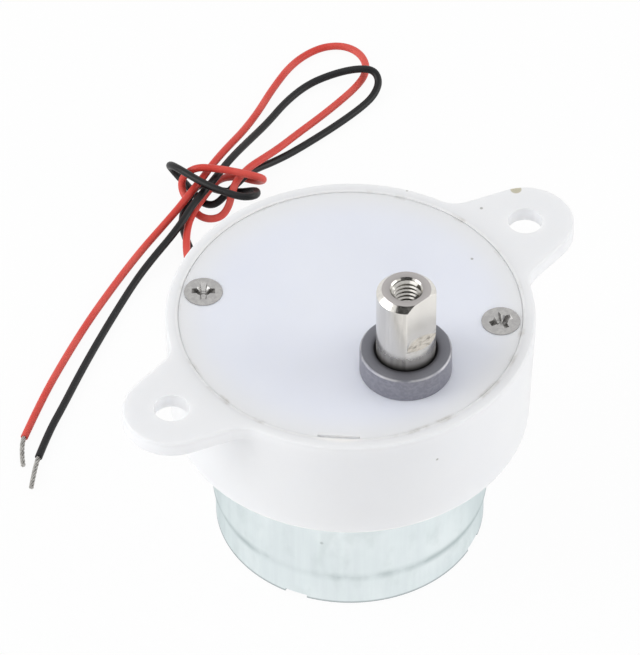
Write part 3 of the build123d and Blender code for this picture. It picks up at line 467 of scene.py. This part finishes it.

# %% [markdown]
# ## Bright and grey metals
# The shaft is steel with bright nickel plating, milled flat on one side, and scratched where the cutter
# ran out; its end face and tapped hole are painted darker as shade, and it darkens towards the collar.
# The collar round it is pressed from metal powder: dark and speckled, with its top face painted darker
# as shade, darker round the bore, and a painted highlight along its rim. The motor's can is zinc-plated
# sheet, drawn from a disc, so its marks run up and down; a painted shadow lies under its flux ring, and
# it is darker at its foot. Noise stretched along Z draws such marks, and the same masks as before put
# the wear, the darker bands and the painted light and shade where they belong. How far a point lies
# along the flat's own direction tells the milled side of the shaft from its round one.

# %% Shaft, collar, can and screws
shaft_centre = (0.0, -12.4 * MM, 0.0)
flat_turn = math.radians(-83.2)
toward_flat = (math.cos(flat_turn), math.sin(flat_turn), 0)
flat_low = 44.5 * MM
shaft_mouth = 40.6 * MM
shaft_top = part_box("output_shaft")[1].z
collar_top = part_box("output_bush")[1].z
ring_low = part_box("flux_ring")[0].z

shaft_steel, tree, shader = finish_tree("shaft_steel")
streak = use(tree, grain, Scale=420.0, Stretch=(6, 6, 0.5), Detail=4.0)
colour = tint(tree, remap(tree, streak, 0.3, 0.75), rgb(213, 210, 205), rgb(225, 222, 216))
place = put(tree, "ShaderNodeTexCoord").outputs["Object"]
milled = remap(tree, vector(tree, "DOT_PRODUCT", place, toward_flat)["Value"], 15.1 * MM, 15.28 * MM)
colour = marked(tree, colour, milled, 0.8, rgb(238, 235, 230))
ledge = times(tree, milled, use(tree, level_mark, Level=flat_low, Width=0.16 * MM))
colour = marked(tree, colour, ledge, 0.6, rgb(204, 201, 196))
runout = times(tree, milled, use(tree, level_mark, Level=flat_low + 0.2 * MM, Width=1.1 * MM))
scuffs = use(tree, grain, Scale=1700.0, Stretch=(0.5, 2.0, 2.2), Detail=5.0)
nicks = times(tree, runout, remap(tree, scuffs, 0.53, 0.62))
colour = marked(tree, colour, nicks, 0.5, rgb(120, 116, 110))
# painted shade: the shaft's end face is darkened against the lamp's reflection in it
end_face_painted_shade = use(tree, level_mark, Level=shaft_top, Width=0.12 * MM)
colour = marked(tree, colour, end_face_painted_shade, 0.9, rgb(174, 170, 169))
# painted shade: the tapped hole and the face round it are darkened, as shade in the recess
bore_painted_shade = use(tree, ring_mark, Centre=shaft_centre, Radius=0.0, Width=3.4 * MM)
colour = marked(tree, colour, bore_painted_shade, 0.8, rgb(96, 94, 92))
# darker towards the collar's mouth
darker_toward_mouth = use(tree, level_mark, Level=shaft_mouth, Width=1.9 * MM)
colour = marked(tree, colour, darker_toward_mouth, 0.95, rgb(56, 55, 56))
dulled = use(tree, level_mark, Level=shaft_mouth, Width=4.0 * MM)
rough = calc(tree, "ADD", remap(tree, streak, 0.3, 0.7, 0.14, 0.2), times(tree, dulled, 0.3))
height = calc(tree, "SUBTRACT", times(tree, streak, 0.1), nicks)
feed(tree, shader, Base_Color=colour, Metallic=1.0, Roughness=rough, Normal=bump(tree, height, 0.003))

sintered_metal, tree, shader = finish_tree("sintered_metal")
powder = use(tree, grain, Scale=2200.0, Detail=6.0)
blotch = use(tree, grain, Scale=420.0, Detail=4.0)
colour = tint(tree, remap(tree, powder, 0.35, 0.68), rgb(136, 136, 145), rgb(151, 151, 160))
scratch = use(tree, grain, Scale=700.0, Stretch=(0.5, 0.5, 5.0), Detail=4.0)
colour = tint(tree, remap(tree, scratch, 0.6, 0.75, 0.0, 0.35), colour, rgb(186, 186, 192))
# painted shade: the collar's top face is darkened as its dark reflection, less so on its outer part
end_face_painted_shade = use(tree, level_mark, Level=collar_top, Width=0.25 * MM)
colour = marked(tree, colour, end_face_painted_shade, 0.85, rgb(100, 101, 108))
outer = use(tree, ring_mark, Centre=shaft_centre, Radius=5.8 * MM, Width=1.0 * MM)
colour = marked(tree, colour, times(tree, end_face_painted_shade, outer), 0.45, rgb(132, 133, 140))
# painted highlight along the collar's rim, broken by noise
edge = times(tree, use(tree, ring_mark, Centre=shaft_centre, Radius=6.1 * MM, Width=0.22 * MM),
             use(tree, level_mark, Level=collar_top - 0.1 * MM, Width=0.25 * MM))
rim_painted_highlight = times(tree, edge, remap(tree, blotch, 0.35, 0.6))
colour = marked(tree, colour, rim_painted_highlight, 0.7, rgb(200, 199, 201))
# darker round the bore
darker_round_bore = use(tree, ring_mark, Centre=shaft_centre, Radius=4.1 * MM, Width=0.9 * MM)
colour = marked(tree, colour, darker_round_bore, 0.92, rgb(34, 33, 36))
feed(tree, shader, Base_Color=colour, Metallic=0.6, Roughness=remap(tree, powder, 0.3, 0.7, 0.42, 0.56),
     Normal=bump(tree, powder, 0.008))

can_steel, tree, shader = finish_tree("can_steel")
drawn = use(tree, grain, Scale=260.0, Stretch=(5, 5, 0.22), Detail=5.0)
bloom = use(tree, grain, Scale=160.0, Stretch=(1, 1, 0.6), Detail=4.0)
colour = tint(tree, remap(tree, drawn, 0.25, 0.8), rgb(227, 235, 237), rgb(234, 242, 243))
colour = tint(tree, remap(tree, bloom, 0.4, 0.75, 0.0, 0.7), colour, rgb(244, 250, 251))
dull = use(tree, grain, Scale=330.0, Stretch=(1, 1, 0.5), Detail=5.0)
colour = tint(tree, remap(tree, dull, 0.5, 0.74, 0.0, 0.4), colour, rgb(208, 218, 218))
# painted shadow: a darker band under the flux ring's lower edge, where its overhang shades the can
below = use(tree, level_mark, Level=ring_low - 0.3 * MM, Width=1.4 * MM)
painted_shadow_under_ring = times(tree, below, remap(tree, bloom, 0.38, 0.6, 0.15, 1.0))
colour = marked(tree, colour, painted_shadow_under_ring, 0.85, rgb(172, 185, 186))
foot = use(tree, level_mark, Level=0.0, Width=0.45 * MM)
colour = marked(tree, colour, foot, 0.8, rgb(138, 148, 150))
marks = use(tree, specks, Scale=420.0, Size=0.16, Share=0.06)
colour = marked(tree, colour, marks, 0.45, rgb(140, 150, 150))
feed(tree, shader, Base_Color=colour, Metallic=0.85, Roughness=remap(tree, drawn, 0.3, 0.7, 0.4, 0.5),
     Specular_Tint=rgb(190, 200, 200), Normal=bump(tree, drawn, 0.004))

screw_steel, tree, shader = finish_tree("screw_steel")
fine = use(tree, grain, Scale=1500.0, Detail=4.0)
colour = tint(tree, remap(tree, fine, 0.35, 0.7), rgb(172, 171, 170), rgb(184, 183, 181))
feed(tree, shader, Base_Color=colour, Metallic=1.0, Roughness=remap(tree, fine, 0.3, 0.7, 0.17, 0.25),
     Normal=bump(tree, fine, 0.001))

# %% [markdown]
# ## Finishes of the inner and lower pieces
# Gears, bushes, magnets, the armature and the end cap are mostly out of sight, but the underside shows
# some of them, and the others show when the model is taken apart. Each has its own pair of colours, its
# sheen and a grain that runs the way the piece was made: fine and even for a moulding, stretched for
# drawn wire, banded for a stack of sheets or a coil. One function makes them from a short list.

# %% Grained finishes from a list
def grained(name, dark, pale, metallic, rough, scale, stretch=(1, 1, 1), depth=0.006, bands=None):
    """A finish between two colours. bands is None, or a direction and a spacing in millimetres."""
    made, tree, shader = finish_tree(name)
    base = use(tree, grain, Scale=float(scale), Stretch=stretch, Detail=4.0)
    height = base
    if bands:
        place = put(tree, "ShaderNodeTexCoord").outputs["Object"]
        reach = vector(tree, "LENGTH", vector(tree, "MULTIPLY", place, bands[0])[0])["Value"]
        wave = calc(tree, "SINE", times(tree, reach, 2 * math.pi / (bands[1] * MM)))
        height = calc(tree, "ADD", times(tree, wave, 0.6), base)
    mix = remap(tree, height, 0.3, 0.75)
    feed(tree, shader, Base_Color=tint(tree, mix, rgb(*dark), rgb(*pale)), Metallic=metallic,
         Roughness=remap(tree, base, 0.3, 0.7, *rough), Normal=bump(tree, height, depth))
    return made


inner_finishes = {
    "gear_acetal": ((222, 220, 210), (236, 234, 226), 0.0, (0.3, 0.42), 1200),
    "pin_steel": ((170, 172, 176), (206, 208, 210), 1.0, (0.18, 0.3), 900, (3, 3, 0.3)),
    "bronze_bush": ((138, 98, 52), (182, 138, 84), 0.9, (0.36, 0.52), 1800),
    "magnet_ferrite": ((40, 40, 43), (64, 64, 68), 0.0, (0.5, 0.68), 1400, (1, 1, 1), 0.02),
    "brass": ((176, 140, 70), (214, 180, 104), 1.0, (0.24, 0.38), 900),
    "carbon": ((26, 26, 28), (50, 50, 52), 0.1, (0.42, 0.6), 2200),
    "cap_plastic": ((24, 24, 26), (44, 44, 47), 0.0, (0.38, 0.52), 1500, (1, 1, 1), 0.012),
    "washer_fibre": ((150, 112, 70), (190, 152, 104), 0.0, (0.6, 0.78), 1600),
    "copper": ((168, 92, 58), (214, 134, 92), 1.0, (0.26, 0.42), 1000),
}
finishes = {name: grained(name, *values) for name, values in inner_finishes.items()}
finishes["core_steel"] = grained("core_steel", (92, 94, 98), (150, 152, 156), 0.9, (0.36, 0.5), 800,
                                 depth=0.03, bands=((0, 0, 1), 0.5))
finishes["wound_copper"] = grained("wound_copper", (120, 52, 24), (206, 112, 62), 0.7, (0.22, 0.36), 900,
                                   depth=0.05, bands=((1, 1, 0), 0.36))
finishes.update(housing_nylon=housing_nylon, lid_nylon=lid_nylon, shaft_steel=shaft_steel,
                sintered_metal=sintered_metal, can_steel=can_steel, screw_steel=screw_steel)
print("finishes:", len(finishes))

# %% [markdown]
# ## Insulation
# The leads have soft plastic insulation, satin rather than shiny, with the faint ripple that an
# extruder leaves and paler, dustier patches where they were handled. A second, finer noise gives the
# ripple its height.

# %% Lead insulation and tinned wire
def insulation(name, deep, faded):
    """Satin plastic of a lead."""
    made, tree, shader = finish_tree(name)
    handled = remap(tree, use(tree, grain, Scale=140.0, Detail=4.0), 0.35, 0.7)
    ripple = use(tree, grain, Scale=1400.0, Detail=3.0)
    feed(tree, shader, Base_Color=tint(tree, handled, rgb(*deep), rgb(*faded)),
         Roughness=remap(tree, handled, 0.0, 1.0, 0.4, 0.52), Specular_IOR_Level=0.35,
         Normal=bump(tree, ripple, 0.01))
    return made


red_insulation = insulation("red_insulation", (211, 66, 56), (221, 92, 82))
black_insulation = insulation("black_insulation", (6, 6, 8), (18, 19, 22))
tinned_copper = grained("tinned_copper", (150, 148, 144), (206, 204, 200), 1.0, (0.28, 0.42), 1600)
for lead, finish in ((red_lead, red_insulation), (black_lead, black_insulation)):
    lead.data.materials.append(finish)

# %% [markdown]
# ## Geometry trees
# What repeats or follows a line is made with Geometry Nodes: the screws, the thread and the twisted
# strands. Each tree has its sizes as inputs and ends in real geometry with its finish set. A tree is
# run once on a small holder object, and the result is kept as a plain mesh, so nothing is left to
# evaluate later.

# %% Helpers for geometry trees
def tree_with(name, *inputs):
    """A geometry tree with a geometry in and out, and its other inputs as (name, type, value)."""
    tree = bpy.data.node_groups.new(name, "GeometryNodeTree")
    face = tree.interface
    face.new_socket("Geometry", in_out="INPUT", socket_type="NodeSocketGeometry")
    face.new_socket("Geometry", in_out="OUTPUT", socket_type="NodeSocketGeometry")
    for label, kind, value in inputs:
        socket = face.new_socket(label, in_out="INPUT", socket_type="NodeSocket" + kind)
        if value is not None:
            socket.default_value = value
    return tree, put(tree, "NodeGroupInput").outputs, put(tree, "NodeGroupOutput").inputs


def joined(tree, *parts):
    """Several geometries as one."""
    join = put(tree, "GeometryNodeJoinGeometry")
    for part in parts:
        tree.links.new(part, join.inputs[0])
    return join.outputs[0]


def cut(tree, operation, first, *others):
    """A solid cut by others."""
    node = put(tree, "GeometryNodeMeshBoolean", operation=operation, solver="EXACT")
    tree.links.new(first, node.inputs[0 if operation == "DIFFERENCE" else 1])
    for other in others:
        tree.links.new(other, node.inputs[1])
    return node.outputs[0]


def moved(tree, geometry, shift=(0, 0, 0), turn=(0, 0, 0)):
    """A geometry turned and then moved."""
    sockets = {"Geometry": geometry, "Translation": shift, "Rotation": turn}
    return put(tree, "GeometryNodeTransform", sockets).outputs[0]


def up(tree, value):
    """A vector along Z from a value."""
    return put(tree, "ShaderNodeCombineXYZ", {"Z": value}).outputs[0]


def creased(tree, geometry, angle=0.6):
    """Smooth shading, with edges sharper than an angle left sharp."""
    smooth = put(tree, "GeometryNodeSetShadeSmooth", {"Geometry": geometry}, domain="FACE").outputs[0]
    bend = put(tree, "GeometryNodeInputMeshEdgeAngle").outputs["Unsigned Angle"]
    sharp = put(tree, "FunctionNodeCompare", {0: bend, 1: angle}, operation="GREATER_THAN").outputs[0]
    sockets = {"Geometry": smooth, "Selection": sharp, "Shade Smooth": False}
    return put(tree, "GeometryNodeSetShadeSmooth", sockets, domain="EDGE").outputs[0]


def close_tree(tree, geometry, finish, out):
    """Ends a tree in plain geometry with a finish on it."""
    real = put(tree, "GeometryNodeRealizeInstances", {0: geometry}).outputs[0]
    dressed = put(tree, "GeometryNodeSetMaterial", {"Geometry": real, "Material": finish})
    tree.links.new(dressed.outputs[0], out[0])


def plain_mesh(name, holder, tree, finish):
    """Runs a geometry tree on an object, keeps the result as a plain mesh and removes the object."""
    modifier = holder.modifiers.new(tree.name, "NODES")
    modifier.node_group = tree
    for item in tree.interface.items_tree:
        if item.in_out == "INPUT" and item.name == "Finish":
            modifier[item.identifier] = finish
    evaluated = holder.evaluated_get(bpy.context.evaluated_depsgraph_get())
    mesh = bpy.data.meshes.new_from_object(evaluated)
    holder.modifiers.remove(modifier)
    bpy.data.objects.remove(holder)
    made = bpy.data.objects.new(name, mesh)
    bpy.context.collection.objects.link(made)
    print(name, "faces:", len(mesh.polygons))
    return made


# %% [markdown]
# ## Lid screws
# Two countersunk screws hold the lid. Their heads stand a little proud, are slightly domed and have a
# cross recess whose wings narrow towards the bottom. In the tree a disc is cut to a dome by a large
# ball, the cross is cut from it by two tapered bars and a cone, and the result is set on two points,
# each with its own turn, as a screwdriver left them.

# %% Screws with cross recesses
screws, given, out = tree_with(
    "cross_screws",
    ("Head Radius", "Float", 2.6 * MM),
    ("Head Rise", "Float", 0.25 * MM),
    ("Dome Radius", "Float", 17.0 * MM),
    ("Cone Depth", "Float", 1.15 * MM),
    ("Shank Radius", "Float", 1.25 * MM),
    ("Shank Length", "Float", 9.0 * MM),
    ("Wing Length", "Float", 4.4 * MM),
    ("Wing Width", "Float", 1.25 * MM),
    ("Recess Depth", "Float", 0.95 * MM),
    ("Finish", "Material", None),
)
head_r, head_rise, cone_depth = given["Head Radius"], given["Head Rise"], given["Cone Depth"]
wing_w, recess = given["Wing Width"], given["Recess Depth"]
plate_h = calc(screws, "ADD", head_rise, cone_depth)
blank = put(screws, "GeometryNodeMeshCylinder", {"Vertices": 72, "Radius": head_r, "Depth": plate_h})
plate_mid = times(screws, calc(screws, "SUBTRACT", head_rise, cone_depth), 0.5)
blank = moved(screws, blank.outputs["Mesh"], up(screws, plate_mid))
dome_r = given["Dome Radius"]
ball = put(screws, "GeometryNodeMeshUVSphere", {"Segments": 96, "Rings": 192, "Radius": dome_r})
ball = moved(screws, ball.outputs["Mesh"], up(screws, calc(screws, "SUBTRACT", head_rise, dome_r)))
sink = put(screws, "GeometryNodeMeshCone", {
    "Vertices": 72, "Radius Top": times(screws, head_r, 1.1),
    "Radius Bottom": given["Shank Radius"], "Depth": times(screws, cone_depth, 1.2)})
sink = moved(screws, sink.outputs["Mesh"], up(screws, times(screws, cone_depth, -1.0)))
head = cut(screws, "INTERSECT", blank, ball, sink)
bar_size = put(screws, "ShaderNodeCombineXYZ", {
    "X": given["Wing Length"], "Y": wing_w, "Z": times(screws, recess, 2.0)}).outputs[0]
bar = put(screws, "GeometryNodeMeshCube", {
    "Size": bar_size, "Vertices X": 2, "Vertices Y": 2, "Vertices Z": 2})
wide_end, taper = 1.1, 0.7
spot = put(screws, "GeometryNodeInputPosition").outputs[0]
deep = calc(screws, "LESS_THAN", put(screws, "ShaderNodeSeparateXYZ", {0: spot}).outputs["Z"], 0.0)
narrow = calc(screws, "SUBTRACT", wide_end, times(screws, deep, taper))
slim = put(screws, "ShaderNodeCombineXYZ", {"X": narrow, "Y": narrow, "Z": 1.0}).outputs[0]
tapered = vector(screws, "MULTIPLY", spot, slim)[0]
bar = put(screws, "GeometryNodeSetPosition", {"Geometry": bar.outputs["Mesh"], "Position": tapered})
bar = moved(screws, bar.outputs[0], up(screws, head_rise))
cross_bar = moved(screws, bar, turn=(0, 0, math.pi / 2))
pit = put(screws, "GeometryNodeMeshCone", {
    "Vertices": 24, "Radius Top": times(screws, wing_w, 0.85), "Radius Bottom": times(screws, wing_w, 0.3),
    "Depth": times(screws, recess, 1.15)})
pit_low = calc(screws, "SUBTRACT", head_rise, times(screws, recess, 1.1))
pit = moved(screws, pit.outputs["Mesh"], up(screws, pit_low))
head = cut(screws, "DIFFERENCE", head, bar, cross_bar, pit)
shank_len = given["Shank Length"]
shank = put(screws, "GeometryNodeMeshCylinder", {
    "Vertices": 40, "Radius": given["Shank Radius"], "Depth": shank_len})
shank_mid = calc(screws, "SUBTRACT", times(screws, shank_len, -0.5), cone_depth)
shank = moved(screws, shank.outputs["Mesh"], up(screws, shank_mid))
turn = put(screws, "GeometryNodeInputNamedAttribute", {"Name": "turn"}, data_type="FLOAT").outputs[0]
set_on = put(screws, "GeometryNodeInstanceOnPoints", {
    "Points": given["Geometry"], "Instance": joined(screws, creased(screws, head), creased(screws, shank)),
    "Rotation": up(screws, turn)})
close_tree(screws, set_on.outputs[0], given["Finish"], out)

lid_top = 37.5
screw_ring_r = 20.28
screw_turns = [math.radians(turn) for turn in (131.7, -40.2)]
recess_turns = [math.radians(turn) for turn in (-36.4, -10.0)]
points = bpy.data.meshes.new("screw_places")
places = [(screw_ring_r * math.cos(turn), screw_ring_r * math.sin(turn), lid_top) for turn in screw_turns]
points.from_pydata([Vector(place) * MM for place in places], [], [])
points.attributes.new("turn", "FLOAT", "POINT").data.foreach_set("value", recess_turns)
holder = bpy.data.objects.new("screw_places", points)
bpy.context.collection.objects.link(holder)
lid_screws = plain_mesh("cross_recess_screws", holder, screws, screw_steel)
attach(lid_screws, "frame")
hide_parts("lid_screws")

# %% [markdown]
# ## Thread in the shaft
# The shaft's end is tapped, and the first turns of the thread show in its mouth. A thread is a small
# ridge swept along a spiral, which is one node each in Geometry Nodes. The solid hole has the thread's
# outer size, so the ridge stands inward from its wall.

# %% Thread ridge
ridge, given, out = tree_with(
    "thread_ridge",
    ("Wall Radius", "Float", 2.0 * MM),
    ("Pitch", "Float", 0.7 * MM),
    ("Turns", "Float", 13.0),
    ("Ridge Depth", "Float", 0.36 * MM),
    ("Finish", "Material", None),
)
pitch, ridge_depth = given["Pitch"], given["Ridge Depth"]
crest_r = calc(ridge, "SUBTRACT", given["Wall Radius"], times(ridge, ridge_depth, 0.5))
spiral = put(ridge, "GeometryNodeCurveSpiral", {
    "Resolution": 40, "Rotations": given["Turns"], "Start Radius": crest_r, "End Radius": crest_r,
    "Height": times(ridge, given["Turns"], pitch)})
level_line = put(ridge, "GeometryNodeSetCurveNormal", {"Curve": spiral.outputs[0]}, mode="Z_UP")
tooth = put(ridge, "GeometryNodeCurvePrimitiveQuadrilateral", {
    "Height": ridge_depth, "Bottom Width": times(ridge, pitch, 0.86),
    "Top Width": times(ridge, pitch, 0.16), "Offset": 0.0}, mode="TRAPEZOID")
tooth = moved(ridge, tooth.outputs[0], turn=(0, 0, -math.pi / 2))
swept = put(ridge, "GeometryNodeCurveToMesh", {
    "Curve": level_line.outputs[0], "Profile Curve": tooth, "Fill Caps": True})
close_tree(ridge, creased(ridge, swept.outputs[0]), given["Finish"], out)
holder = bpy.data.objects.new("thread_start", bpy.data.meshes.new("thread_start"))
bpy.context.collection.objects.link(holder)
shaft_thread = plain_mesh("shaft_thread_ridge", holder, ridge, shaft_steel)
reaches = [math.hypot(v.co.x, v.co.y) / MM for v in shaft_thread.data.vertices]
print("thread radii:", round(min(reaches), 3), round(max(reaches), 3))

# %% [markdown]
# ## Bare ends of the leads
# The last few millimetres of each lead are stripped: seven fine tinned strands, twisted together. A
# rope of strands is a profile of seven small circles swept along a line whose tilt grows with its
# length, so the sweep itself makes the twist. The line is a spline again, through the same three
# points as the solid.

# %% Twisted strands
strands, given, out = tree_with(
    "twisted_strands",
    ("Strand Radius", "Float", 0.115 * MM),
    ("Twist", "Float", 1400.0),
    ("Finish", "Material", None),
)
strand_r = given["Strand Radius"]
line = put(strands, "GeometryNodeResampleCurve", {"Curve": given["Geometry"], "Count": 70}).outputs[0]
along = put(strands, "GeometryNodeSplineParameter").outputs["Length"]
twisted = put(strands, "GeometryNodeSetCurveTilt", {
    "Curve": line, "Tilt": times(strands, along, given["Twist"])})
thread = put(strands, "GeometryNodeCurvePrimitiveCircle", {"Resolution": 10, "Radius": strand_r})
ring = put(strands, "GeometryNodeMeshCircle", {"Vertices": 6, "Radius": times(strands, strand_r, 2.0)})
ring = put(strands, "GeometryNodeMeshToPoints", {"Mesh": ring.outputs[0]}).outputs[0]
core = put(strands, "GeometryNodePoints", {"Count": 1}).outputs[0]
spread = put(strands, "GeometryNodeInstanceOnPoints", {
    "Points": joined(strands, ring, core), "Instance": thread.outputs[0]})
profile = put(strands, "GeometryNodeRealizeInstances", {0: spread.outputs[0]}).outputs[0]
swept = put(strands, "GeometryNodeCurveToMesh", {
    "Curve": twisted.outputs[0], "Profile Curve": profile, "Fill Caps": True})
close_tree(strands, creased(strands, swept.outputs[0], 1.0), given["Finish"], out)
elbow_run = 1.6


def bare_end(name, route, tip):
    """The stripped end that goes on from a lead's route, along the line of the solid."""
    before, end = Vector((*route[-2][:2], lead_lie)), Vector((*route[-1][:2], lead_lie))
    elbow = end + (end - before).normalized() * elbow_run
    holder = spline_object(name + "_line", [end, elbow, (*tip, lead_lie)])
    made = plain_mesh(name, holder, strands, tinned_copper)
    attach(made, "frame")
    return made


red_end = bare_end("red_lead_strands", red_route, (-32.4, 32.2))
black_end = bare_end("black_lead_strands", black_route, (-33.9, 28.1))
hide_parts("red_tinned_end")
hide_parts("black_tinned_end")
for lead, side, end, node, slot, length in (
    (red_lead, -1, red_end, "red_lead", "red_insulation", 0.2324),
    (black_lead, 1, black_end, "black_lead", "black_insulation", 0.2269),
):
    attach(lead, "frame")
    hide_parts(node)

# %% [markdown]
# ## Dressing the solids
# Every CAD piece takes the finish that its record names. The windings share the commutator's copper in
# the record, but they are wound wire, so they get the banded copper instead.

# %% Finishes on the CAD pieces
slot_of = {part["node"]: part["material_slot"] for part in frame["record"]["subparts"]}
finishes.update(red_insulation=red_insulation, black_insulation=black_insulation, tinned_copper=tinned_copper)
for name, node in nodes.items():
    finish = finishes["wound_copper" if name == "armature_windings" else slot_of[name]]
    if node.material_slots:
        for held in node.material_slots:
            held.material = finish
    else:
        node.data.materials.append(finish)
mouth_depth = 0.3 * MM
lift = shaft_top - mouth_depth - max(v.co.z for v in shaft_thread.data.vertices)
shaft_thread.data.transform(Matrix.Translation((shaft_centre[0], shaft_centre[1], lift)))
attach(shaft_thread, "output")
print("dressed:", len(nodes), "CAD pieces")

# %% [markdown]
# ## Size
# How far the dressed motor reaches past the box of its solids. The dressed motor has to
# stay in the box of its solids.

# %% How far the motor grew past its solids
visual_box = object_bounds()
sides = zip((*cad_box[0], *cad_box[1]), (*visual_box[0], *visual_box[1]))
print("grown by:", [round((visual - cad) / MM, 3) for cad, visual in sides], "mm")
